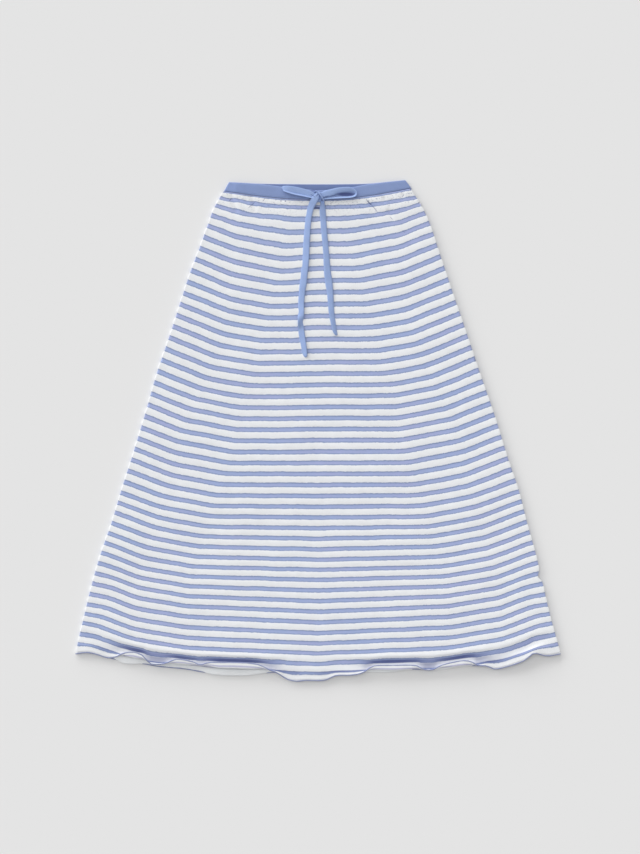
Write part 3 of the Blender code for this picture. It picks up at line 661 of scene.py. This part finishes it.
def creases(table, across, height):
    """How far the cloth falls and how far it is moved up or down at its creases."""
    fall, shift = 0.0, 0.0
    for crease in table:
        run = np.array((crease.to_across - crease.across, crease.to_height - crease.height))
        length = np.hypot(*run)
        right, up = across - crease.across, height - crease.height
        along = (right * run[0] + up * run[1]) / length ** 2
        off = (up * run[0] - right * run[1]) / length / crease.width
        here = between(along, *CREASE_REACH)
        lip = CREASE_LIP * np.exp(-(off - LIP_AWAY) ** 2)
        fall = fall + crease.depth * here * (np.exp(-off ** 2) - lip)
        shift = shift + crease.jog * here * 0.5 * np.tanh(off) * np.exp(-(off / JOG_REACH) ** 2)
    return fall, shift


def gathers(across, height, seam):
    """Small even gathers just below the waist seam."""
    width = GATHER_STEP * (1 + GATHER_VARIES * uneven(across, height * 0, size=0.09, seed=11))
    fade = np.exp(-np.maximum(seam - height, 0) / GATHER_REACH)
    return GATHER_RISE * np.sin(2 * pi * across / width) * fade


# Making meshes

def finished(mesh, data):
    """Put a mesh that was being worked on into its data."""
    mesh.to_mesh(data)
    mesh.free()
    return data


def sheet_mesh(name, places, uv, **marks):
    """A mesh through a grid of places, rows by columns, with its UV map in metres and marks."""
    rows, columns = places.shape[:2]
    mesh = bmesh.new()
    bmesh.ops.create_grid(mesh, x_segments=columns - 1, y_segments=rows - 1, size=1.0)
    data = finished(mesh, bpy.data.meshes.new(name))
    spots = np.empty(len(data.vertices) * 3, np.float32)
    data.vertices.foreach_get("co", spots)
    spots = spots.reshape(-1, 3)
    column = np.rint((spots[:, 0] + 1) / 2 * (columns - 1)).astype(int)
    row = np.rint((1 - spots[:, 1]) / 2 * (rows - 1)).astype(int)
    data.vertices.foreach_set("co", places[row, column].astype(np.float32).ravel())
    corners = np.empty(len(data.loops), np.int32)
    data.loops.foreach_get("vertex_index", corners)
    layer = data.uv_layers.new(name="cloth")
    layer.data.foreach_set("uv", uv[row, column][corners].astype(np.float32).ravel())
    for mark, values in marks.items():
        layer = data.attributes.new(mark, "FLOAT", "POINT")
        layer.data.foreach_set("value", values[row, column].astype(np.float32))
    data.update()
    return data


def close_up(data):
    """Weld a mesh's matching edges, close its ends and point its faces outwards."""
    mesh = bmesh.new()
    mesh.from_mesh(data)
    bmesh.ops.remove_doubles(mesh, verts=mesh.verts, dist=1e-7)
    rims = [edge for edge in mesh.edges if edge.is_boundary]
    if rims:
        bmesh.ops.holes_fill(mesh, edges=rims, sides=0)
    bmesh.ops.recalc_face_normals(mesh, faces=mesh.faces)
    finished(mesh, data)


def put(name, data):
    """An object of the scene with this mesh, light or camera."""
    made = bpy.data.objects.new(name, data)
    bpy.context.scene.collection.objects.link(made)
    return made


def piece(name, data, slot, nodes, *materials):
    """The object of a finished mesh, which rides the skirt's body and replaces its solids."""
    for material in materials:
        data.materials.append(material)
    data.shade_smooth()
    made = put(name, data)
    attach(made, "root")
    if nodes:
        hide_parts(*nodes)
    return made


def thicken(made, thickness):
    """Give a sheet its cloth's thickness, on its inner side, in its second material."""
    wall = made.modifiers.new("cloth", "SOLIDIFY")
    wall.thickness = thickness
    wall.offset = -1
    wall.material_offset = 1
    wall.material_offset_rim = 0


def sweep(name, centres, sides, ups, section):
    """A tube through centres; section holds each ring's distances along sides and ups."""
    ring = np.concatenate([section, section[:, :1]], axis=1)
    places = centres[:, None] + sides[:, None] * ring[..., :1] + ups[:, None] * ring[..., 1:]
    data = sheet_mesh(name, places, grid(lengths(ring[0])[None, :], lengths(centres)[:, None]))
    close_up(data)
    return data


def carried_frames(centres, first_side):
    """Directions across a path and out of it, turned as little as can be."""
    along = unit(np.gradient(centres, axis=0))
    side = np.array(first_side, float)
    sides = []
    for ahead in along:
        side = unit(side - ahead * side.dot(ahead))
        sides.append(side)
    sides = np.array(sides)
    return sides, np.cross(sides, along)


def route(rows, spacing):
    """A smooth path through rows, with points about so far apart, and its other columns."""
    values = np.array(rows, float)
    keys = lengths(values[:, :3])
    table = rows_of("key across height off width roll", *np.column_stack([keys, values]))
    count = max(8, round(keys[-1] / spacing))
    *place, widths, rolls = read(table, np.linspace(0, keys[-1], count + 1))
    return np.stack(place, axis=-1), widths, np.radians(rolls)


def ribbon(name, rows, first_side, nodes, finish, cut=False):
    """A flat tape of the tie along rows of places, widths and rolls, with its path."""
    centres, widths, rolls = route(rows, TAPE_STEP)
    sides, ups = carried_frames(centres, first_side)
    turn, lean = np.cos(rolls)[:, None], np.sin(rolls)[:, None]
    sides, ups = sides * turn + ups * lean, ups * turn - sides * lean
    shape = np.array(TAPE_SECTION)
    cupped = TAPE_CUP * (1 + CUP_VARIES * np.sin(np.arange(len(centres)) * CUP_WAVE))
    section = grid(shape[:, 0] * widths[:, None],
                   shape[:, 1] * TAPE + shape[:, 0] ** 2 * cupped[:, None])
    if cut:
        fade = np.minimum(np.arange(len(centres))[::-1] / CUT_RINGS, 1.0) ** 0.5
        section *= mix(CUT_NARROW, 1, fade)[:, None, None]
    data = sweep(name, centres, sides, ups, section)
    return piece(name, data, "tie_knit", nodes, finish), centres


# Finishes

def add(tree, kind, inputs=None, **settings):
    """A node with its settings, and its inputs set or linked."""
    made = tree.nodes.new(kind)
    for name, value in settings.items():
        setattr(made, name, value)
    for name, value in (inputs or {}).items():
        if isinstance(value, bpy.types.NodeSocket):
            tree.links.new(value, made.inputs[name])
        else:
            made.inputs[name].default_value = value
    return made


def sum_of(tree, operation, first, second=0.0):
    """One step of arithmetic."""
    return add(tree, "ShaderNodeMath", {0: first, 1: second}, operation=operation).outputs[0]


def ramp(tree, value, start, end, low=0.0, high=1.0):
    """A value that goes smoothly from low to high."""
    made = add(tree, "ShaderNodeMapRange", {"Value": value, "From Min": start, "From Max": end,
                                            "To Min": low, "To Max": high},
               interpolation_type="SMOOTHSTEP")
    return made.outputs["Result"]


def blend(tree, share, first, second):
    """A colour between two."""
    first, second = ((*colour, 1.0) if isinstance(colour, tuple) else colour
                     for colour in (first, second))
    made = add(tree, "ShaderNodeMix", {0: share, 6: first, 7: second}, data_type="RGBA")
    return made.outputs[2]


def swing(tree, value, depth):
    """A value from 0 to 1, made to swing about 0."""
    return sum_of(tree, "MULTIPLY", sum_of(tree, "SUBTRACT", value, 0.5), depth)


def arch(tree, value):
    """A row of arches, one for each whole step of a value."""
    return sum_of(tree, "SINE", sum_of(tree, "MULTIPLY", sum_of(tree, "FRACT", value), pi))


def off_middle(tree, value):
    """How far a value is from halfway between whole steps."""
    return sum_of(tree, "ABSOLUTE", sum_of(tree, "SUBTRACT", sum_of(tree, "FRACT", value), 0.5))


def mark(tree, name):
    """A value that the mesh carries."""
    return add(tree, "ShaderNodeAttribute", attribute_name=name).outputs["Fac"]


def object_place(tree):
    return add(tree, "ShaderNodeTexCoord").outputs["Object"]


def cloud(tree, place, scale, detail):
    """Soft noise."""
    return add(tree, "ShaderNodeTexNoise",
               {"Vector": place, "Scale": scale, "Detail": detail}).outputs[0]


def stitch_group():
    """Knit stitches: rows of small V shapes, with their height and each yarn's tone."""
    group = bpy.data.node_groups.new("Knit stitches", "ShaderNodeTree")
    for name, way, kind in (("Place", "INPUT", "NodeSocketVector"),
                            ("Wale", "INPUT", "NodeSocketFloat"),
                            ("Course", "INPUT", "NodeSocketFloat"),
                            ("Height", "OUTPUT", "NodeSocketFloat"),
                            ("Tone", "OUTPUT", "NodeSocketFloat")):
        group.interface.new_socket(name, in_out=way, socket_type=kind)
    given = group.nodes.new("NodeGroupInput").outputs
    out = group.nodes.new("NodeGroupOutput").inputs
    apart = add(group, "ShaderNodeSeparateXYZ", {0: given["Place"]}).outputs
    wale = sum_of(group, "DIVIDE", apart["X"], given["Wale"])
    course = sum_of(group, "DIVIDE", apart["Y"], given["Course"])
    slant = sum_of(group, "MULTIPLY", off_middle(group, wale), STITCH_SLANT)
    leg = arch(group, sum_of(group, "ADD", course, slant))
    half = arch(group, sum_of(group, "MULTIPLY", wale, 2.0))
    group.links.new(sum_of(group, "MULTIPLY", leg, sum_of(group, "SQRT", half)), out["Height"])
    group.links.new(cloud(group, given["Place"], 900.0, 2.0), out["Tone"])
    return group


def knit(name, stitches, size, bump=0.5):
    """A matt knit with stitches of one size, still without its colour."""
    material = bpy.data.materials.new(name)
    material.use_nodes = True
    tree = material.node_tree
    shader = tree.nodes["Principled BSDF"].inputs
    for socket, value in (("Roughness", 0.92), ("Sheen Weight", 0.06), ("Sheen Roughness", 0.6),
                          ("Specular IOR Level", 0.25)):
        shader[socket].default_value = value
    place = add(tree, "ShaderNodeUVMap", uv_map="cloth").outputs["UV"]
    loops = add(tree, "ShaderNodeGroup", {"Place": place, "Wale": size[0], "Course": size[1]},
                node_tree=stitches).outputs
    raised = add(tree, "ShaderNodeBump",
                 {"Strength": bump, "Distance": STITCH_RISE, "Height": loops["Height"]})
    tree.links.new(raised.outputs["Normal"], shader["Normal"])
    return material, tree, loops


def coloured(material, loops, colour, depth):
    """Give a knit its colour, a little darker and lighter from loop to loop and place to place."""
    tree = material.node_tree
    fine = swing(tree, loops["Tone"], depth)
    broad = swing(tree, cloud(tree, object_place(tree), 60.0, 5.0), BROAD_TONE)
    value = sum_of(tree, "ADD", sum_of(tree, "ADD", fine, broad), 1.0)
    made = add(tree, "ShaderNodeHueSaturation", {"Value": value, "Color": colour})
    tree.links.new(made.outputs["Color"], tree.nodes["Principled BSDF"].inputs["Base Color"])
    return material


def shaded(tree, colour, spots):
    """A colour deepened to navy in soft oval spots of painted shade."""
    place = object_place(tree)
    for spot in spots:
        flat = add(tree, "ShaderNodeMapping", {
            "Vector": place, "Location": (spot.across, spot.height, 0.0),
            "Rotation": (0.0, 0.0, radians(spot.turn)), "Scale": (spot.along, spot.wide, 1.0)},
            vector_type="TEXTURE").outputs["Vector"]
        far = add(tree, "ShaderNodeVectorMath", {0: flat}, operation="LENGTH").outputs["Value"]
        colour = blend(tree, ramp(tree, far, *SHADE_SPOT_BLUR, 0.0, spot.dark), colour, SHADE_NAVY)
    return colour


def striped_knit(stitches):
    """The outer side: white ribs and blue grooves, whose edges step from loop to loop, with painted
    shade along the grooves' edges, in the hem's trough and valleys, at puckers and in soft spots.
    """
    material, tree, loops = knit("striped_knit", stitches, PANEL_STITCH)
    stripe = mark(tree, "stripe")
    place = object_place(tree)
    strayed = stripe
    for scale in YARN_SCALES:
        strayed = sum_of(tree, "ADD", strayed, swing(tree, cloud(tree, place, scale, 1.0), YARN_STRAY))
    apart = sum_of(tree, "ADD", off_middle(tree, sum_of(tree, "ADD", strayed, 0.5)),
                   ramp(tree, stripe, *LAST_NARROWS))
    is_blue = ramp(tree, apart, BLUE_HALF + BLUE_EDGE, BLUE_HALF - BLUE_EDGE)
    soft = blend(tree, ramp(tree, cloud(tree, place, 9.0, 3.0), 0.38, 0.66), BLUE, LILAC_BLUE)
    # painted shade along both edges of each blue groove
    groove_shade = ramp(tree, apart, BLUE_HALF - GROOVE_SHADE_END, BLUE_HALF - GROOVE_SHADE_START)
    colour = blend(tree, is_blue, WHITE, blend(tree, groove_shade, soft, GROOVE_SHADE_BLUE))
    # painted shade of small puckers near the waist
    pucker_shade = sum_of(tree, "MULTIPLY", ramp(tree, cloud(tree, place, 330.0, 3.0), 0.57, 0.70),
                   ramp(tree, stripe, *WAIST_PUCKER_SHADE))
    shade = sum_of(tree, "MAXIMUM", mark(tree, "shade"), pucker_shade)
    # painted shade: darkened towards navy by the shade mark and the puckers
    colour = blend(tree, sum_of(tree, "MULTIPLY", shade, DARKEST), colour, SHADE_NAVY)
    return coloured(material, loops, shaded(tree, colour, FRONT_SHADE_SPOTS), 0.22)


def wrong_side(stitches):
    """The inner side: white, with a thin lilac line behind each blue groove."""
    material, tree, loops = knit("striped_knit_inside", stitches, PANEL_STITCH)
    apart = off_middle(tree, sum_of(tree, "ADD", mark(tree, "stripe"), 0.5))
    colour = blend(tree, ramp(tree, apart, *LILAC_LINE), INSIDE_WHITE, LILAC)
    return coloured(material, loops, colour, 0.08)


def plain_knit(name, stitches, size, colour, bump=0.5, inside=None, spots=()):
    """One colour of knit, a deeper one where the piece's inner side is marked, and painted shade in
    soft spots.
    """
    material, tree, loops = knit(name, stitches, size, bump)
    low, high = (tuple(tone * part for part in colour) for tone in PLAIN_TONES)
    tone = blend(tree, sum_of(tree, "MULTIPLY", loops["Height"], LOOP_SHOWS), low, high)
    if inside:
        tone = blend(tree, mark(tree, "inside"), tone, inside)
    return coloured(material, loops, shaded(tree, tone, spots), 0.10)


# The skirt's pieces

def shown_stripe(number):
    """The stripe number to paint: the last white band is wider than its share."""
    last = mix(LAST_BLUE, HEM_SHOWN, (number - LAST_BLUE) / (HEM_STRIPE - LAST_BLUE))
    return np.where(number > LAST_BLUE, last, number)


def make_front(outer, inner):
    """The front, from the waist seam to its wavy hem and round both side folds."""
    field = [number + phase for number in range(FIELD_STRIPES) for phase in FIELD_PHASES]
    numbers = np.array([0.0, *field, *HEM_ROWS])[:, None]
    reach = 1 - SIDE_MARGIN
    columns = np.linspace(-reach, reach, FRONT_CELLS + 1)
    across_shares = np.array([-FOLD_START, *columns, FOLD_START])[None, :]
    across, height, inward = panel_place(numbers, across_shares, "seam", FRONT_HEM, FOLLOW)
    level = front_level(numbers, across, height, inward)
    fall, shift = creases(FRONT_CREASES, across, height)
    wobble = STRIPE_WOBBLE * uneven(across, height, size=0.055, seed=7) * step(numbers, 0.3, 1)
    wobble = wobble + WAIST_WOBBLE * uneven(across, height, size=0.026, seed=9) * between(
        numbers, *WAIST_WOBBLES)
    level = level - fall * step(numbers, *SEAM_FLATTENS)
    level = level + gathers(across, height, waist(across, "seam"))
    height = height + shift * step(numbers, 0, 0.5) + wobble * (numbers < TROUGH)
    middle = grid(across, height, level)

    sides = []
    for side in (-1.0, 1.0):
        edge = panel_place(numbers, np.array([[side]]), "seam", FRONT_HEM, FOLLOW)
        top = front_level(numbers, *edge)
        half = abs(edge[0]) + RIB_BULGE * rib(numbers)
        turn = np.radians(FOLD_ANGLES)[None, :]
        depth = np.where(turn > 0, FOLD_SHOULDER, FOLD_DEPTH)
        out = side * (half - depth * (1 - np.cos(turn)))
        drop = mix(GROUND, top, (1 + np.sin(turn)) / 2)
        sides.append(grid(out, edge[1], drop))
    places = np.concatenate([sides[0][:, ::-1], middle, sides[1]], axis=1)
    run = np.cumsum(np.linalg.norm(np.diff(places, axis=1, prepend=places[:, :1]), axis=2), axis=1)
    uv = grid(run - run[:, run.shape[1] // 2, None], numbers * PITCH)
    curled = TROUGH + CURL_CLOTH / PITCH * (numbers - TROUGH) / (HEM_STRIPE - TROUGH)
    curl = shares(FRONT_HEM, places[..., 0], "curl") * (numbers > TROUGH)
    stripe = mix(shown_stripe(numbers), curled, curl)
    data = sheet_mesh("front", places, uv, stripe=stripe, shade=shade_at(numbers, places[..., 0]))
    made = piece("front", data, "striped_knit", ["front_panel"], outer, inner)
    thicken(made, CLOTH)
    return made, middle[-2:]


def tuck_path(numbers, across, height):
    """Height and level of the back's hem where its cut edge is turned under."""
    start, end = TUCK_TURN
    turn = pi * np.clip((numbers - start) / (end - start), 0, 1)
    under = np.clip((numbers - end) / (HEM_STRIPE - end), 0, 1)
    fold = read(BACK_HEM, across, "height") + TUCK_ROUND
    last = height[BACK_ENDS.index(LAST_BLUE) - len(BACK_ENDS)]
    down = mix(last, fold, np.clip((numbers - LAST_BLUE) / (start - LAST_BLUE), 0, 1))
    stood = mix(BACK_CLOTH, TUCK_LIFT, (1 + np.cos(turn)) / 2) * step(numbers, *TUCK_RISE)
    return down - TUCK_ROUND * np.sin(turn) + TUCK_REACH * under, stood


def make_back(outer, inner):
    """The back, flat on the floor, seen from inside below the front's hem."""
    field = [number + phase for number in range(FIELD_STRIPES) for phase in BACK_PHASES]
    numbers = np.array([*field, *BACK_ENDS])[:, None]
    across_shares = np.linspace(-1, 1, BACK_CELLS + 1)[None, :]
    across, height, _ = panel_place(numbers, across_shares, "back_top", BACK_HEM, BACK_FOLLOW)
    fall, shift = creases(BACK_CREASES, across, height)
    fall = BACK_FALL * np.maximum(fall * step(numbers, 0, 0.3), 0)
    level = GROUND + BACK_GROOVE * (1 - rib(numbers)) + fall
    level = level + np.maximum(read(BACK_HEM, across, "lift"), 0) * step(numbers, BACK_CURL, HEM_STRIPE)
    tucked, stood = tuck_path(numbers, across, height)
    tuck = shares(BACK_HEM, across, "tuck")
    height = np.where(numbers > LAST_BLUE, mix(height, tucked, tuck), height)
    lifted = np.minimum(TUCK_SHARP * tuck, 1) * (numbers > TUCK_RISE[0])
    level = mix(level, GROUND + stood, lifted)
    half = half_width(height, across_shares)
    across = across * (half - BACK_TUCK) / half
    places = grid(across, height + shift * step(numbers, 0, 1), level)[:, ::-1]
    uv = grid(across, numbers * PITCH)[:, ::-1]
    stripe = numbers + BACK_STRIPE_SHIFT * step(numbers, SHIFT_START, SHIFT_START + 1) + 0 * across
    data = sheet_mesh("back", places, uv, stripe=stripe[:, ::-1])
    made = piece("back", data, "striped_knit", ["back_panel"], outer, inner)
    thicken(made, BACK_CLOTH)
    return made, places[-2:, ::-1]


def make_waistband(outer):
    """The waistband: one flat sleeve round the waist, folded at both sides."""
    reach = np.linspace(-1, 1, BAND_CELLS + 1)
    folds, flat = np.radians(BAND_ANGLES), np.zeros(reach.size)
    ends = np.ones(folds.size)
    share = np.concatenate([reach, ends, reach[::-1], -ends])
    turn = np.concatenate([flat + pi / 2, folds, flat - pi / 2, folds[::-1]])
    side = np.concatenate([flat, ends, flat, -ends])
    back = (1 - np.sin(turn)) / 2
    half = half_width(BAND_LEVEL, share)
    across = share * half
    seam, front_top, back_top = waist(across, "seam", "front_top", "back_top")
    bottom = mix(seam, back_top - BAND_HEIGHT, back)
    top = mix(front_top, back_top, back)
    radius = BAND_FOLD - BAND_WALL / 2
    loft = LOFT * step(half - abs(across), 0, LOFT_REACH) * (1 - back)
    middle = GROUND + BAND_BELOW * BAND_WALL + radius * (1 + np.sin(turn)) + loft
    middle = middle + (1 - back) * (REST + BAND_WALL - GROUND - 2 * BAND_FOLD) * ease(1 - back)
    top_half = np.where(share < 0, BAND_TOP_LEFT, BAND_TOP_RIGHT)
    shape = np.array(BAND_SECTION + BAND_SECTION[:1])
    up, out = shape[:, 0][None, :], (shape[:, 1][None, :] - 0.5) * BAND_WALL
    puffed = 1 + BAND_PUFF * uneven(across, across * 0, size=0.016, seed=21)[:, None]
    x_half = mix(half[:, None], top_half[:, None], up) - BAND_FOLD
    x = share[:, None] * x_half + (side * np.cos(turn))[:, None] * (radius + out)
    y = mix(bottom[:, None], top[:, None], up)
    z = middle[:, None] + np.sin(turn)[:, None] * out * puffed
    places = grid(x, y, z)
    places = np.concatenate([places, places[:1]])
    uv = grid(lengths(places[:, BAND_MIDDLE])[:, None], lengths(places[0])[None, :])
    inside = np.append(back, back[0])[:, None] * (shape[:, 1] < BAND_INNER)
    data = sheet_mesh("waistband", places, uv, inside=inside)
    close_up(data)
    return piece("waistband", data, "band_knit", ["waistband_front", "waistband_back"], outer)


def make_edge(name, rows, finish, inwards):
    """The stitched roll along a hem's cut edge, whose last two rows of points are given."""
    before, line = rows
    outer = unit(np.cross(unit(line - before), unit(np.gradient(line, axis=0))))
    line = line - outer * inwards
    line[:, 2] = np.maximum(line[:, 2], THREAD_ROLL * THREAD_SPARE + GROUND)
    marks = lengths(line)
    at = np.linspace(0, marks[-1], int(marks[-1] / THREAD_TURN * THREAD_RINGS))
    centres = np.stack([np.interp(at, marks, line[:, axis]) for axis in range(3)], axis=-1)
    along = unit(np.gradient(centres, axis=0))
    sides = unit(np.cross(along, np.array((0.0, 0.0, 1.0))))
    angle = np.arange(THREAD_SIDES) * 2 * pi / THREAD_SIDES
    twist = np.cos(pi * at[:, None] / THREAD_TURN + angle[None, :] / 2)
    radius = THREAD_ROLL * (1 - THREAD_GROOVE * (1 - abs(twist)))
    waves = np.sin(at * THREAD_WAVES[0]) * np.sin(at * THREAD_WAVES[1])
    radius = radius * (1 + THREAD_VARIES * waves)[:, None]
    section = grid(radius * np.cos(angle), radius * np.sin(angle))
    data = sweep(name, centres, sides, np.cross(sides, along), section)
    return piece(name, data, "striped_knit", [], finish)


def front_top_level(height):
    """Top of the ribs, which the free ends of the tie lie on, by height down the middle."""
    rows = np.array(STRIPES[::-1], float)
    number = np.interp(height, rows[:, 1], rows[:, 0])
    return REST + LOFT + FRONT_WALL + RIB_RISE - TAIL_SAG * (1 - rib(number))


def make_tail(name, table, finish):
    """A free end of the drawstring, from the knot down over the ribs to its cut end."""
    centres, widths, rolls = route(table, TAPE_STEP)
    centres[:, 2] += front_top_level(centres[:, 1]) + TAPE / 2
    rows = np.column_stack([centres, widths, np.degrees(rolls)])
    made, path = ribbon(name, rows, (1, 0, 0), [name.replace("free_end", "tail")], finish, cut=True)


def make_bow(finish):
    """Both loops, the turns of the knot and the gathered tapes inside it."""
    ribbon("bow_loop_left", LEFT_LOOP, (0, 1, 0), ["loop_left"], finish)
    ribbon("bow_loop_right", RIGHT_LOOP, (0, 1, 0), ["loop_right"], finish)
    ribbon("knot_wrap", KNOT_WRAP, (1, 0, 0), ["drawstring_knot"], finish)
    centre, size = KNOT_CORE
    mesh = bmesh.new()
    mesh.loops.layers.uv.new("cloth")
    bmesh.ops.create_uvsphere(mesh, u_segments=24, v_segments=12, radius=0.5, calc_uvs=True)
    bmesh.ops.scale(mesh, verts=mesh.verts, vec=size)
    bmesh.ops.translate(mesh, verts=mesh.verts, vec=centre)
    piece("knot_core", finished(mesh, bpy.data.meshes.new("knot_core")), "tie_knit", [], finish)


# Floor, light and camera

def make_stage():
    """A plain pale floor, soft light from the upper left, and the camera above."""
    mesh = bmesh.new()
    bmesh.ops.create_circle(mesh, cap_ends=True, segments=64, radius=30.0)
    data = finished(mesh, bpy.data.meshes.new("floor"))
    material = bpy.data.materials.new("floor")
    material.use_nodes = True
    shader = material.node_tree.nodes["Principled BSDF"].inputs
    shader["Base Color"].default_value = (*FLOOR, 1.0)
    shader["Roughness"].default_value = 1.0
    shader["Specular IOR Level"].default_value = 0.0
    data.materials.append(material)
    put("floor", data)

    for light in LIGHTS:
        data = bpy.data.lights.new(light.name, "SUN")
        data.energy = light.strength
        data.angle = radians(light.spread)
        lamp = put(light.name, data)
        lamp.rotation_euler = (radians(90 - light.above), 0, radians(light.turn))

    world = bpy.data.worlds.new("studio")
    world.use_nodes = True
    sky = world.node_tree.nodes["Background"].inputs
    sky["Color"].default_value = (1.0, 1.0, 1.0, 1.0)
    sky["Strength"].default_value = SKY_LIGHT
    scene = bpy.context.scene
    scene.world = world
    scene.view_settings.view_transform = "Standard"

    lens = bpy.data.cameras.new("camera")
    lens.lens = CAMERA_LENS
    scene.camera = put("camera", lens)
    scene.camera.location = CAMERA_PLACE


def main():
    stitches = stitch_group()
    outer, inner = striped_knit(stitches), wrong_side(stitches)
    band = plain_knit("band_knit", stitches, BAND_STITCH, BAND_BLUE, inside=BAND_INSIDE,
                      spots=BAND_SHADE_SPOTS)
    tie = plain_knit("tie_knit", stitches, TIE_STITCH, TIE_BLUE, spots=TIE_SHADE_SPOTS)
    thread = plain_knit("overlock_thread", stitches, THREAD_STITCH, THREAD_BLUE, bump=0.3)
    front, front_edge = make_front(outer, inner)
    back, back_edge = make_back(outer, inner)
    front_roll = make_edge("overlock_front", front_edge, thread, CLOTH / 2)
    back_roll = make_edge("overlock_back", back_edge, thread, -BACK_CLOTH / 2)
    waistband = make_waistband(band)
    make_bow(tie)
    make_tail("free_end_left", LEFT_TAIL, tie)
    make_tail("free_end_right", RIGHT_TAIL, tie)
    make_stage()


main()
